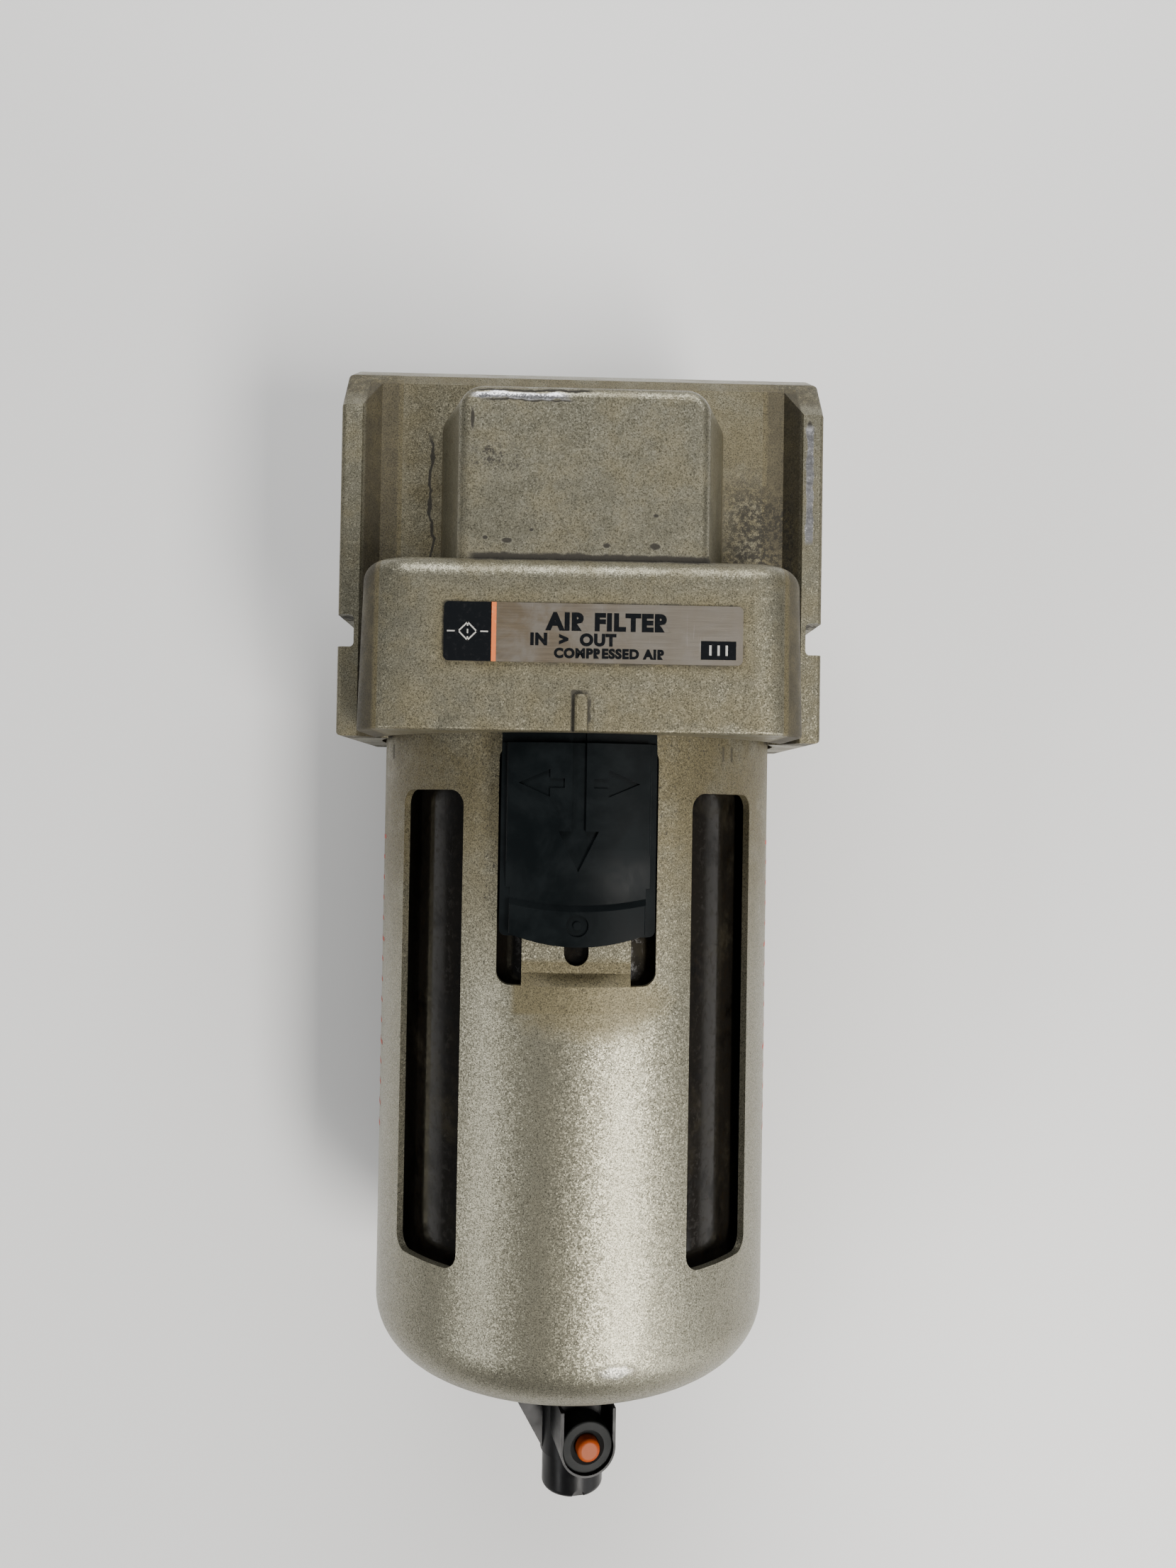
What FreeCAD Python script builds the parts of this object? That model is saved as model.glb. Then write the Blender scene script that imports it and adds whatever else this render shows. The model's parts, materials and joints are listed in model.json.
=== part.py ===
"""Compressed air filter: head with two ports, bayonet bowl assembly, push drain.

Frame: millimetres, +Z up, origin where the port axis crosses the bowl axis.
The front is -Y, the inlet port faces -X and the outlet port faces +X.
"""
import FreeCAD, Part

import math
import os

# ---- driving dimensions -------------------------------------------------------------
FACE_TO_FACE = 53.0          # inlet face to outlet face
PORT_TO_TOP = 14.0           # port axis to the top of the head
SKIRT_BOTTOM = -28.9         # lower edge of the head
SKIRT_HALF_DEPTH = 26.3      # bowl axis to the front of the head
GUARD_R = 22.6               # outside of the steel bowl guard
GUARD_BOTTOM = -98.5         # lowest point of the guard
SPOUT_BOTTOM = -114.5        # lowest point of the drain spout
DRAIN_TURN = 12.0            # the drain body is screwed in this far past the front, degrees

# ---- head ---------------------------------------------------------------------------
FACE_X = FACE_TO_FACE / 2
END_HALF_DEPTH = 13.0        # half width of the port faces
END_EDGE_R = 0.6
SHOULDER_Z = 7.35            # where the port face starts to slope in
SLOPE = [(9.3, 11.9), (4.6, PORT_TO_TOP)]
RECESS_Y = 10.3              # floor of the recess between end rib and centre block
RIB_FOOT_X = 22.5            # end rib at the recess floor
RIB_CREST_X = 24.2           # end rib at its front
NOTCH_TOP = -15.7            # clamp groove across each port face
NOTCH_BOTTOM = -19.2
NOTCH_DEPTH = 1.8
NOTCH_CORNER_R = 0.5
BLOCK_FRONT_Y = 24.5         # centre block, front and back
BLOCK_ROOT = 2.0             # how far the block is sunk behind the recess floor
BLOCK_FOOT_HALF = 15.7
BLOCK_FRONT_HALF = 12.5
BLOCK_FOOT_TOP = 7.85
BLOCK_FRONT_TOP = 5.8
BLOCK_BURIED = 4.0           # its foot ends this far below the top of the skirt
BLOCK_CORNER_R = 2.6
BLOCK_EDGE_R = 1.3
SKIRT_HALF_WIDTH = 22.75     # at its lower edge
SKIRT_TOP_HALF_WIDTH = 22.25
SKIRT_TOP = -11.65
SKIRT_CORNER_R = 5.5
SKIRT_TOP_R = 2.1
SKIRT_EDGE_R = 0.3
POINTER_HALF = 0.72
POINTER_TOP = -25.1
POINTER_PROUD = 0.6
POINTER_EDGE_R = 0.35
PLATE_WIDTH = 29.3           # name plate on the front of the skirt
PLATE_HEIGHT = 5.8
PLATE_THICK = 0.3
PLATE_X = 1.13
PLATE_Z = -19.25
PLATE_CORNER_R = 0.55
PORT_R = 8.3                 # thread wall of the 3/8 taper ports
PORT_DEPTH = 12.0
PORT_CHAMFER = 0.8
PASSAGE_R = 6.5
DROP_HALF = 7.0              # way down from the inlet port into the ring chamber
CHAMBER_R = 17.5             # ring chamber that the inlet opens into
CHAMBER_TOP = -14.4
TUBE_R = 10.0                # central outlet tube
TUBE_BOTTOM = -18.4
HUB_R = 4.0
HUB_TOP = -10.4
ELBOW_LOW = -7.5             # plane between the elbow block and the tube
HUB_SOLID = 1.5              # left above the threaded hole in the hub
ARM_HALF = 0.8               # spokes that carry the hub
NECK_BORE_R = 21.4
NECK_BORE_TOP = -16.0
SOCKET_R = 24.9              # bayonet socket in the skirt
SOCKET_TOP = -22.9
LEDGE_R = 23.1
LEDGE_TOP = -26.0
LEDGE_HALF_ANGLE = 23.0

# ---- bowl and guard -----------------------------------------------------------------
LUG_R = 24.5
LUG_TOP = -24.9
LUG_THICK = 1.0
LUG_HALF_ANGLE = 20.0
GUARD_WALL = 0.8
GUARD_CORNER_R = 6.1
GUARD_HOLE_R = 6.4
SLOT_ANGLE = 44.15
SLOT_HALF_ANGLE = 12.45
SLOT_TOP = -34.65
SLOT_BOTTOM = -84.2
SLOT_CORNER_R = 1.7
WINDOW_HALF = 8.15
WINDOW_TOP = -30.0
WINDOW_BOTTOM = -54.4
WINDOW_CORNER_R = 1.4
TONGUE_HALF = 5.55
TONGUE_Y = -21.6             # outer face of the flat spring tongue
TONGUE_BEND = -53.1
EYE_HALF = 1.25              # U-shaped eye lanced out of the tongue
EYE_BOTTOM = -52.4
TAB_TOP = -46.2              # tongue top, and seat of the lock spring
TAB_REACH_Y = -24.0
TAB_HALF = 1.15
BOWL_R = 20.4
BOWL_WALL = 2.5
BOWL_FLANGE_R = 24.4
BOWL_NECK_R = 21.2
BOWL_NECK_TOP = -16.4
BOWL_SEAT = LUG_TOP          # the flange rests on the guard rim
BOWL_FLANGE_TOP = -23.1
BOWL_BOTTOM = -97.5
BOWL_CORNER_R = 7.0
BOWL_HOLE_R = 5.15
BOWL_EDGE_R = 0.3
BOWL_FLOOR = -94.4
BOSS_R = 8.6                 # raised ring round the hole in the bowl's floor
BOSS_TOP = -93.5
SEAL_SEAT_R = 6.9            # counterbore for the drain's O-ring
SEAL_SEAT_FLOOR = -94.35
SEAL_WIRE_R = 0.85           # bowl O-ring section
SEAL_GROOVE_R = 19.65
SEAL_GROOVE_HALF = 1.05
SEAL_Z = -20.3

# ---- inside -------------------------------------------------------------------------
DEFLECTOR_R = 17.4
DEFLECTOR_RIM = 1.0
DEFLECTOR_HUB_R = 12.4
DEFLECTOR_BORE_R = 7.6
DEFLECTOR_RISE = 2.0         # its rings stand this far above the outlet tube's end
DEFLECTOR_LIP = 1.4          # the rim hangs this far below the clamp face
LOUVRE = (5.6, 0.8, 3.4)     # length, thickness and width of one louvre
ELEMENT_R = 13.5
ELEMENT_BORE_R = 8.5
ELEMENT_TOP = -20.2
ELEMENT_BOTTOM = -55.2
GASKET = 0.8
BAFFLE_R = 16.4
BAFFLE_DROP = 2.6            # the disc slopes down this far to its rim
BAFFLE_RIM = 1.2
BAFFLE_THICK = 1.5
PILOT_HEIGHT = 3.0           # ring that centres the element
FIN_HEIGHT = 11.0            # calming fins below the disc
FIN_TOP_HALF = 13.4
FIN_FOOT_HALF = 9.9
FIN_THICK = 1.2
SHAFT_R = 2.4

# ---- lock button --------------------------------------------------------------------
BUTTON_HALF = 7.8
BUTTON_PLATE_R = 24.7        # outer face of the plate
BUTTON_BACK_Y = -21.9
BUTTON_LOWEST = -50.15       # middle of the bowed lower edge
BUTTON_BOW_R = 20.0
BUTTON_CORNER_Z = -49.15     # lower corners of the plate
BUTTON_CORNER_R = 0.65
BUTTON_STEP = -29.9          # top of the plate and panel
BUTTON_TOP = -25.2           # top of the tongue above them
BUTTON_TONGUE_R = 24.3
BUTTON_CLEAR_Z = -48.2       # below this the plate's back clears the guard wall
BUTTON_EDGE_R = 0.2
BUTTON_CLEARANCE = 0.15      # between the button and the guard wall
PANEL_HALF = 7.2             # raised panel with the arrows
PANEL_R = 25.2
SCOOP_TOP = -40.4            # the panel sinks to the plate between here and the grip
GRIP_HALF = 6.8              # bar across the bottom that a finger pulls on
GRIP_R = 25.5
GRIP_TOP = -46.0             # foot of the bevel along its top edge
GRIP_SIDE_TOP = -44.3        # the panel narrows to the grip's width below this
GRIP_BEVEL = 0.72            # bevel of the top edge, down per unit out
GRIP_LIFT = 0.15             # its underside is this far above the plate's
GATE_Z = -47.95              # round dimple with the moulding gate in it
GATE_DIMPLE_R = 1.1
GATE_R = 0.4
GATE_DEPTH = 0.25
DOWN_ARROW_DEPTH = 0.4       # long arrow down the middle
DOWN_ARROW_NECK = -38.65
DOWN_ARROW_TIP = -42.7
DOWN_ARROW_HALF = 2.0
DOWN_SHAFT_HALF = 0.7
SIDE_ARROW_DEPTH = 0.25      # a short arrow to each side
SIDE_ARROW_Z = -33.9
SIDE_ARROW_X = (1.45, 2.9, 6.05)
SIDE_ARROW_HALF = 1.37
SIDE_SHAFT_HALF = 0.48
RAIL_IN_R = 20.8
RAIL_OUT_R = 21.6
RAIL_INNER_X = 6.3
RAIL_OUTER_X = 9.6
RAIL_TOP = -31.0
RAIL_BOTTOM = -44.0
SPRING_Y = -22.5
SPRING_TOP = -36.0
CHANNEL_BOTTOM = -47.7       # groove for the spring in the button's back
SPRING_R = 1.15
SPRING_WIRE_R = 0.2
SPRING_TURNS = 7
SPRING_PLAY = 0.2            # round the spring in its groove
WINDOW_PLAY = 0.4

# ---- drain --------------------------------------------------------------------------
NECK_R = 5.0                 # threaded neck of the drain body
NUT_BOTTOM = BOWL_FLOOR + 1.6
NUT_HEIGHT = 3.4
NUT_CORNER_R = 9.0
NUT_CROWN_R = 7.9            # chamfered top
DRAIN_SEAL_R = 6.05
DRAIN_SEAL_WIRE_R = 0.75
VALVE_Z = -106.7
VALVE_FRONT = 11.3           # front of the valve housing, out from the bowl axis
VALVE_REAR = -4.6
VALVE_HALF = 3.1
VALVE_TOP = -102.5
SPOUT_OUT = 3.5              # spout axis, out from the bowl axis
SPOUT_R = 3.5
SPOUT_STEP = -110.2          # the spout is thinner below this
SPOUT_NOTCH_R = 0.7
SPOUT_NOTCH_DEPTH = 0.6
COLUMN_R = 3.75
SPOUT_EDGE_R = 0.6
SHOULDER_R = 9.0             # flange under the guard
SHOULDER_TOP = GUARD_BOTTOM - 0.1
SHOULDER_THICK = 1.6
NECK_TOP = -88.0
TRUNK_R = 4.2
WEB_THICK = 1.2              # tapered web on one side of the column
POCKET_BACK = 8.1            # rear of the pocket for the collar, out from the bowl axis
WAY_IN_R = 1.6
WAY_IN_BACK = 1.9            # its axis is this far behind the bowl axis
STEM_BORE_R = 1.75
STEM_R = 0.6
SPOUT_BORE_R = 1.2
SEAT_FRONT = 1.0             # valve seat web: its front and rear faces, out from the bowl axis
SEAT_REAR = 0.3
SEAT_HOLE_R = 1.05
BORE_END = -3.6              # rear end of the valve bore
PLUNGER_ROOT = 6.9           # where the drain button meets the stem
STEM_END = -1.2
STEM_HEAD_R = 1.3
SEAT_SEAL_R = 1.5            # rubber washer that shuts the seat hole
SEAT_SEAL_REAR = -0.3
DRAIN_SPRING_R = 1.15
DRAIN_SPRING_WIRE_R = 0.18
DRAIN_SPRING_TURNS = 3
STEM_SEAL_OUT = 6.2
STEM_SEAL_WIRE_R = 0.35
STEM_GROOVE_R = 1.02
COLLAR_R = 2.85
COLLAR_FACE = 10.9
COLLAR_EDGE_R = 0.2
COLLAR_MOUTH_R = 1.9         # flare round the drain button
BUTTON_PLAY = 0.08           # gap round the drain button and its stem
TIP_EDGE_R = 0.45
DRAIN_BUTTON_R = 1.28
DRAIN_BUTTON_TIP = 11.8

FRONT = -90.0                # direction of the front, degrees from +X
BACK = 90.0
THROUGH = 60.0               # cutters reach this far, past whatever they cut
NEAR = 0.01                  # how closely an edge has to lie on a face to be picked
Z_AXIS = FreeCAD.Vector(0, 0, 1)
ORIGIN = FreeCAD.Vector(0, 0, 0)


# ---- helpers ------------------------------------------------------------------------
def box(x0, x1, y0, y1, z0, z1):
    corner = FreeCAD.Vector(min(x0, x1), min(y0, y1), min(z0, z1))
    return Part.makeBox(abs(x1 - x0), abs(y1 - y0), abs(z1 - z0), corner)


def cylinder(radius, z0, z1, x=0.0, y=0.0):
    return Part.makeCylinder(radius, abs(z1 - z0), FreeCAD.Vector(x, y, min(z0, z1)))


def tube(outer, inner, z0, z1):
    return cylinder(outer, z0, z1).cut(cylinder(inner, z0, z1))


def rod(radius, start, end):
    """A cylinder between two points given as (x, y, z)."""
    a = FreeCAD.Vector(*start)
    b = FreeCAD.Vector(*end)
    return Part.makeCylinder(radius, (b - a).Length, a, b - a)


def revolve(outline):
    """A solid of revolution about Z; the outline is closed, in (radius, z)."""
    points = [FreeCAD.Vector(r, 0, z) for r, z in outline]
    face = Part.Face(Part.makePolygon(points + [points[0]]))
    return face.revolve(ORIGIN, Z_AXIS, 360)


def prism_z(outline, z0, z1):
    points = [FreeCAD.Vector(x, y, z0) for x, y in outline]
    face = Part.Face(Part.makePolygon(points + [points[0]]))
    return face.extrude(FreeCAD.Vector(0, 0, z1 - z0))


def prism_x(outline, x0, x1):
    points = [FreeCAD.Vector(x0, y, z) for y, z in outline]
    face = Part.Face(Part.makePolygon(points + [points[0]]))
    return face.extrude(FreeCAD.Vector(x1 - x0, 0, 0))


def prism_y(outline, y0, y1):
    points = [FreeCAD.Vector(x, y0, z) for x, z in outline]
    face = Part.Face(Part.makePolygon(points + [points[0]]))
    return face.extrude(FreeCAD.Vector(0, y1 - y0, 0))


def turned(shape, degrees):
    copy = shape.copy()
    copy.rotate(ORIGIN, Z_AXIS, degrees)
    return copy


def sector(r0, r1, z0, z1, middle, half):
    """Part of a ring; middle and half are degrees from +X."""
    reach = r1 * 2
    wedge_outline = [(0, 0)]
    for side in (-1, 1):
        angle = math.radians(side * half)
        wedge_outline.append((reach * math.cos(angle), reach * math.sin(angle)))
    wedge = turned(prism_z(wedge_outline, z0, z1), middle)
    return tube(r1, r0, z0, z1).common(wedge)


def fillet(shape, radius, wanted):
    """Round the edges for which wanted(edge) is true."""
    edges = [edge for edge in shape.Edges if wanted(edge)]
    return shape.makeFillet(radius, edges)


def is_straight(edge, axis):
    """True for a straight edge along axis, which is 'x', 'y' or 'z'."""
    if edge.Curve.TypeId != "Part::GeomLine":
        return False
    direction = edge.tangentAt(edge.FirstParameter)
    return abs(getattr(direction, axis)) > 0.999


def union(shapes):
    result = shapes[0]
    for shape in shapes[1:]:
        result = result.fuse(shape)
    return result.removeSplitter()


def torus(ring_r, wire_r, z):
    return Part.makeTorus(ring_r, wire_r, FreeCAD.Vector(0, 0, z))


def coil(mean_r, wire_r, bottom, top, turns):
    """A round-wire compression spring on the Z axis, with its ends inside bottom and top."""
    height = top - bottom - 2 * wire_r
    path = Part.makeHelix(height / turns, height, mean_r)
    path.translate(FreeCAD.Vector(0, 0, bottom + wire_r))
    start = FreeCAD.Vector(mean_r, 0, bottom + wire_r)
    section = Part.Wire([Part.makeCircle(wire_r, start, FreeCAD.Vector(0, 1, 0))])
    return Part.Wire(path.Edges).makePipeShell([section], True, True)


def both_ways(shape):
    """The shape and its copy turned half round the bowl axis."""
    return [shape, turned(shape, 180)]


# ---- head ---------------------------------------------------------------------------
def end_profile():
    """The head seen along X, from the skirt edge up and over."""
    right = [(END_HALF_DEPTH, SKIRT_BOTTOM), (END_HALF_DEPTH, SHOULDER_Z)] + SLOPE
    left = [(-y, z) for y, z in reversed(right)]
    return right + left


def end_rib():
    outline = [
        (FACE_X, -END_HALF_DEPTH),
        (RIB_CREST_X, -END_HALF_DEPTH),
        (RIB_FOOT_X, -RECESS_Y),
        (RIB_FOOT_X, RECESS_Y),
        (RIB_CREST_X, END_HALF_DEPTH),
        (FACE_X, END_HALF_DEPTH),
    ]
    rib = prism_z(outline, SKIRT_BOTTOM, PORT_TO_TOP)
    rib = rib.common(prism_x(end_profile(), 0, FACE_X))
    rib = fillet(rib, END_EDGE_R, lambda e: e.BoundBox.XMin > FACE_X - NEAR)
    notch_x = FACE_X - NOTCH_DEPTH
    notch = box(notch_x, FACE_X + 1, -THROUGH, THROUGH, NOTCH_BOTTOM, NOTCH_TOP)

    def inner_corner(e):
        return is_straight(e, "y") and e.BoundBox.XMax < FACE_X

    return rib.cut(fillet(notch, NOTCH_CORNER_R, inner_corner))


def centre_block():
    """The raised block on the front of the head, drafted on its sides and top."""
    sections = []
    for y in (RECESS_Y - BLOCK_ROOT, BLOCK_FRONT_Y):
        share = (y - RECESS_Y) / (BLOCK_FRONT_Y - RECESS_Y)
        half = BLOCK_FOOT_HALF + share * (BLOCK_FRONT_HALF - BLOCK_FOOT_HALF)
        top = BLOCK_FOOT_TOP + share * (BLOCK_FRONT_TOP - BLOCK_FOOT_TOP)
        low = SKIRT_TOP - BLOCK_BURIED
        corners = [(-half, low), (-half, top), (half, top), (half, low)]
        points = [FreeCAD.Vector(x, -y, z) for x, z in corners]
        sections.append(Part.makePolygon(points + [points[0]]))
    block = Part.makeLoft(sections, True, True)

    def upper_corner(e):
        return e.BoundBox.YLength > BLOCK_ROOT and e.BoundBox.ZMin > 0

    def front_edge(e):
        return e.BoundBox.YMax < -BLOCK_FRONT_Y + NEAR and e.BoundBox.ZMax > SKIRT_TOP

    block = fillet(block, BLOCK_CORNER_R, upper_corner)
    return fillet(block, BLOCK_EDGE_R, front_edge)


def pointer():
    """Small raised line that marks the locked position."""
    cap_z = POINTER_TOP - POINTER_HALF
    front = -SKIRT_HALF_DEPTH - POINTER_PROUD
    back = -SKIRT_HALF_DEPTH + 1
    bar = box(-POINTER_HALF, POINTER_HALF, front, back, SKIRT_BOTTOM, cap_z)
    cap = rod(POINTER_HALF, (0, front, cap_z), (0, back, cap_z))
    bar = bar.fuse(cap).removeSplitter()
    return fillet(bar, POINTER_EDGE_R, lambda e: e.BoundBox.YMax < front + NEAR)


def skirt():
    outline = [
        (-SKIRT_HALF_WIDTH, SKIRT_BOTTOM),
        (SKIRT_HALF_WIDTH, SKIRT_BOTTOM),
        (SKIRT_TOP_HALF_WIDTH, SKIRT_TOP),
        (-SKIRT_TOP_HALF_WIDTH, SKIRT_TOP),
    ]
    block = prism_y(outline, -SKIRT_HALF_DEPTH, SKIRT_HALF_DEPTH)
    block = fillet(block, SKIRT_CORNER_R, lambda e: is_straight(e, "z"))
    block = fillet(block, SKIRT_TOP_R, lambda e: e.BoundBox.ZMin > SKIRT_TOP - NEAR)
    return fillet(block, SKIRT_EDGE_R, lambda e: e.BoundBox.ZMax < SKIRT_BOTTOM + NEAR)


def outlet_spider():
    """Hub inside the outlet tube that the baffle shaft screws into."""
    hub = cylinder(HUB_R, TUBE_BOTTOM, HUB_TOP)
    arm = box(0, PASSAGE_R + 0.5, -ARM_HALF, ARM_HALF, TUBE_BOTTOM, HUB_TOP)
    arms = [turned(arm, 90 + 120 * i) for i in range(3)]
    return union([hub] + arms)


def in_simple_solids(head):
    """The casting as five solids that touch: skirt, two port ends, elbow block and tube."""
    far = THROUGH
    low = NECK_BORE_TOP
    port_end = FACE_X - PORT_DEPTH
    skirt_ring = head.common(box(-far, far, -far, far, -far, low))
    skirt_ring = skirt_ring.cut(cylinder(CHAMBER_R, -far, low))
    inlet_end = head.common(box(-far, -port_end, -far, far, low, far))
    outlet_end = head.common(box(port_end, far, -far, far, low, far))
    elbow = head.common(box(-port_end, port_end, -far, far, ELBOW_LOW, far))
    ceiling = head.common(box(-port_end, port_end, -far, far, low, ELBOW_LOW))
    tube_end = head.common(cylinder(CHAMBER_R, -far, low))
    tube_part = ceiling.fuse(tube_end).removeSplitter()
    solids = []
    for part in (skirt_ring, inlet_end, outlet_end, elbow, tube_part):
        solids += part.Solids
    return Part.makeCompound(solids)


def make_body():
    core = box(-RIB_FOOT_X - 1, RIB_FOOT_X + 1, -RECESS_Y, RECESS_Y, SKIRT_BOTTOM, PORT_TO_TOP)
    core = core.common(prism_x(end_profile(), -FACE_X, FACE_X))
    shell = [core, skirt()]
    shell += both_ways(end_rib()) + both_ways(centre_block()) + both_ways(pointer())
    head = union(shell)

    socket = cylinder(SOCKET_R, SKIRT_BOTTOM, SOCKET_TOP)
    for middle in (0, 180):
        ledge = sector(LEDGE_R, SOCKET_R, SKIRT_BOTTOM, LEDGE_TOP, middle, LEDGE_HALF_ANGLE)
        socket = socket.cut(ledge)
    head = head.cut(socket)
    head = head.cut(cylinder(NECK_BORE_R, SOCKET_TOP, NECK_BORE_TOP))
    head = head.cut(tube(CHAMBER_R, TUBE_R, NECK_BORE_TOP, CHAMBER_TOP))
    head = head.fuse(cylinder(TUBE_R, TUBE_BOTTOM, CHAMBER_TOP)).removeSplitter()

    drop_floor = CHAMBER_TOP - 0.5
    inlet_drop = box(-CHAMBER_R + 1, -TUBE_R + 2, -DROP_HALF, DROP_HALF, drop_floor, 0)
    inlet_drop = inlet_drop.cut(cylinder(TUBE_R, drop_floor, 0))
    head = head.cut(inlet_drop)
    for side in (-1, 1):
        face = side * FACE_X
        inner = side * (FACE_X - PORT_DEPTH)
        head = head.cut(rod(PORT_R, (face, 0, 0), (inner, 0, 0)))
        direction = FreeCAD.Vector(side, 0, 0)
        start = FreeCAD.Vector(side * (FACE_X - PORT_CHAMFER), 0, 0)
        mouth = Part.makeCone(PORT_R, PORT_R + PORT_CHAMFER, PORT_CHAMFER, start, direction)
        head = head.cut(mouth)
    head = head.cut(rod(PASSAGE_R, (-FACE_X, 0, 0), (-TUBE_R - 0.4, 0, 0)))
    head = head.cut(rod(PASSAGE_R, (0, 0, 0), (FACE_X, 0, 0)))
    head = head.cut(cylinder(PASSAGE_R, TUBE_BOTTOM, 0))
    head = head.cut(Part.makeSphere(PASSAGE_R, ORIGIN))
    head = head.fuse(outlet_spider()).removeSplitter()
    head = head.cut(cylinder(SHAFT_R, TUBE_BOTTOM, HUB_TOP - HUB_SOLID))
    return in_simple_solids(head)


def make_name_plate():
    plate = box(
        PLATE_X - PLATE_WIDTH / 2,
        PLATE_X + PLATE_WIDTH / 2,
        -SKIRT_HALF_DEPTH - PLATE_THICK,
        -SKIRT_HALF_DEPTH,
        PLATE_Z - PLATE_HEIGHT / 2,
        PLATE_Z + PLATE_HEIGHT / 2,
    )
    return fillet(plate, PLATE_CORNER_R, lambda e: is_straight(e, "y"))


# ---- filter parts -------------------------------------------------------------------
def make_deflector():
    """Louvred ring that spins the incoming air round the bowl."""
    louvres = 16
    tilt = 52.0
    rim_r = DEFLECTOR_R - DEFLECTOR_RIM
    clamp_low = ELEMENT_TOP + GASKET
    ring_top = TUBE_BOTTOM + DEFLECTOR_RISE
    clamp = tube(ELEMENT_R, DEFLECTOR_BORE_R, clamp_low, TUBE_BOTTOM)
    hub = tube(DEFLECTOR_HUB_R, TUBE_R + 0.1, clamp_low, ring_top)
    rim = tube(DEFLECTOR_R, rim_r, clamp_low - DEFLECTOR_LIP, ring_top)
    length, thick, height = LOUVRE
    corner = FreeCAD.Vector(DEFLECTOR_HUB_R - 1, -thick / 2, -height / 2)
    blade = Part.makeBox(length, thick, height, corner)
    blade.rotate(ORIGIN, FreeCAD.Vector(1, 0, 0), tilt)
    blade.translate(FreeCAD.Vector(0, 0, (clamp_low + ring_top) / 2))
    blade = blade.common(tube(rim_r + 0.4, DEFLECTOR_HUB_R - 0.4, ELEMENT_TOP, ring_top))
    blades = [turned(blade, i * 360 / louvres) for i in range(louvres)]
    return union([clamp, hub, rim] + blades)


def make_filter_element():
    return tube(ELEMENT_R, ELEMENT_BORE_R, ELEMENT_BOTTOM, ELEMENT_TOP)


def make_element_gasket(z_bottom):
    return tube(ELEMENT_R, ELEMENT_BORE_R, z_bottom, z_bottom + GASKET)


def make_baffle():
    """Umbrella disc with its threaded shaft above and calming fins below."""
    top = ELEMENT_BOTTOM - GASKET
    rim_top = top - BAFFLE_DROP
    rim_bottom = rim_top - BAFFLE_RIM
    under = top - BAFFLE_THICK
    disc = revolve(
        [
            (0, top),
            (ELEMENT_R, top),
            (BAFFLE_R, rim_top),
            (BAFFLE_R, rim_bottom),
            (BAFFLE_R - BAFFLE_RIM, rim_bottom),
            (ELEMENT_R - 0.6, under),
            (0, under),
        ]
    )
    pilot_r = ELEMENT_BORE_R - 0.2
    pilot = cylinder(pilot_r, top, top + PILOT_HEIGHT)
    pilot = pilot.cut(cylinder(pilot_r - BAFFLE_RIM, top + 0.8, top + PILOT_HEIGHT))
    shaft = cylinder(SHAFT_R, top, HUB_TOP - HUB_SOLID)
    fins_bottom = top - FIN_HEIGHT
    fin_outline = [
        (-FIN_TOP_HALF, top - 1),
        (FIN_TOP_HALF, top - 1),
        (FIN_FOOT_HALF, fins_bottom),
        (-FIN_FOOT_HALF, fins_bottom),
    ]
    fin = prism_y(fin_outline, -FIN_THICK / 2, FIN_THICK / 2)
    return union([disc, pilot, shaft, fin, turned(fin, 90)])


# ---- bowl ---------------------------------------------------------------------------
def domed_shell(outer_r, bottom, corner_r, top):
    """A round-bottomed solid, from its lowest point up to top."""
    blank = cylinder(outer_r, bottom, top)
    return fillet(blank, corner_r, lambda e: e.BoundBox.ZMax < bottom + NEAR)


def make_bowl():
    outside = domed_shell(BOWL_R, BOWL_BOTTOM, BOWL_CORNER_R, BOWL_SEAT)
    flange = cylinder(BOWL_FLANGE_R, BOWL_SEAT, BOWL_FLANGE_TOP)
    flange = fillet(flange, BOWL_EDGE_R, lambda e: e.BoundBox.ZLength < NEAR)
    neck = cylinder(BOWL_NECK_R, BOWL_SEAT, BOWL_NECK_TOP)
    neck = fillet(neck, BOWL_EDGE_R, lambda e: e.BoundBox.ZMin > BOWL_NECK_TOP - NEAR)
    bowl = union([outside, flange, neck])
    inner_corner_r = BOWL_CORNER_R - BOWL_WALL
    inside = domed_shell(BOWL_R - BOWL_WALL, BOWL_FLOOR, inner_corner_r, BOWL_NECK_TOP)
    bowl = bowl.cut(inside)
    groove_low = SEAL_Z - SEAL_GROOVE_HALF
    groove_high = SEAL_Z + SEAL_GROOVE_HALF
    bowl = bowl.cut(tube(BOWL_NECK_R + 1, SEAL_GROOVE_R, groove_low, groove_high))
    boss = cylinder(BOSS_R, BOWL_FLOOR - 0.5, BOSS_TOP)
    bowl = bowl.fuse(boss).removeSplitter()
    bowl = bowl.cut(cylinder(BOWL_HOLE_R, BOWL_BOTTOM, BOSS_TOP))
    return bowl.cut(tube(SEAL_SEAT_R, BOWL_HOLE_R, SEAL_SEAT_FLOOR, BOSS_TOP))


def make_bowl_o_ring():
    return torus(SEAL_GROOVE_R + SEAL_WIRE_R, SEAL_WIRE_R, SEAL_Z)


def window_cut():
    """Opening for the lock button, with round lower corners."""
    opening = box(-WINDOW_HALF, WINDOW_HALF, -THROUGH, 0, WINDOW_BOTTOM, WINDOW_TOP)
    return fillet(opening, WINDOW_CORNER_R, lambda e: is_straight(e, "y"))


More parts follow.
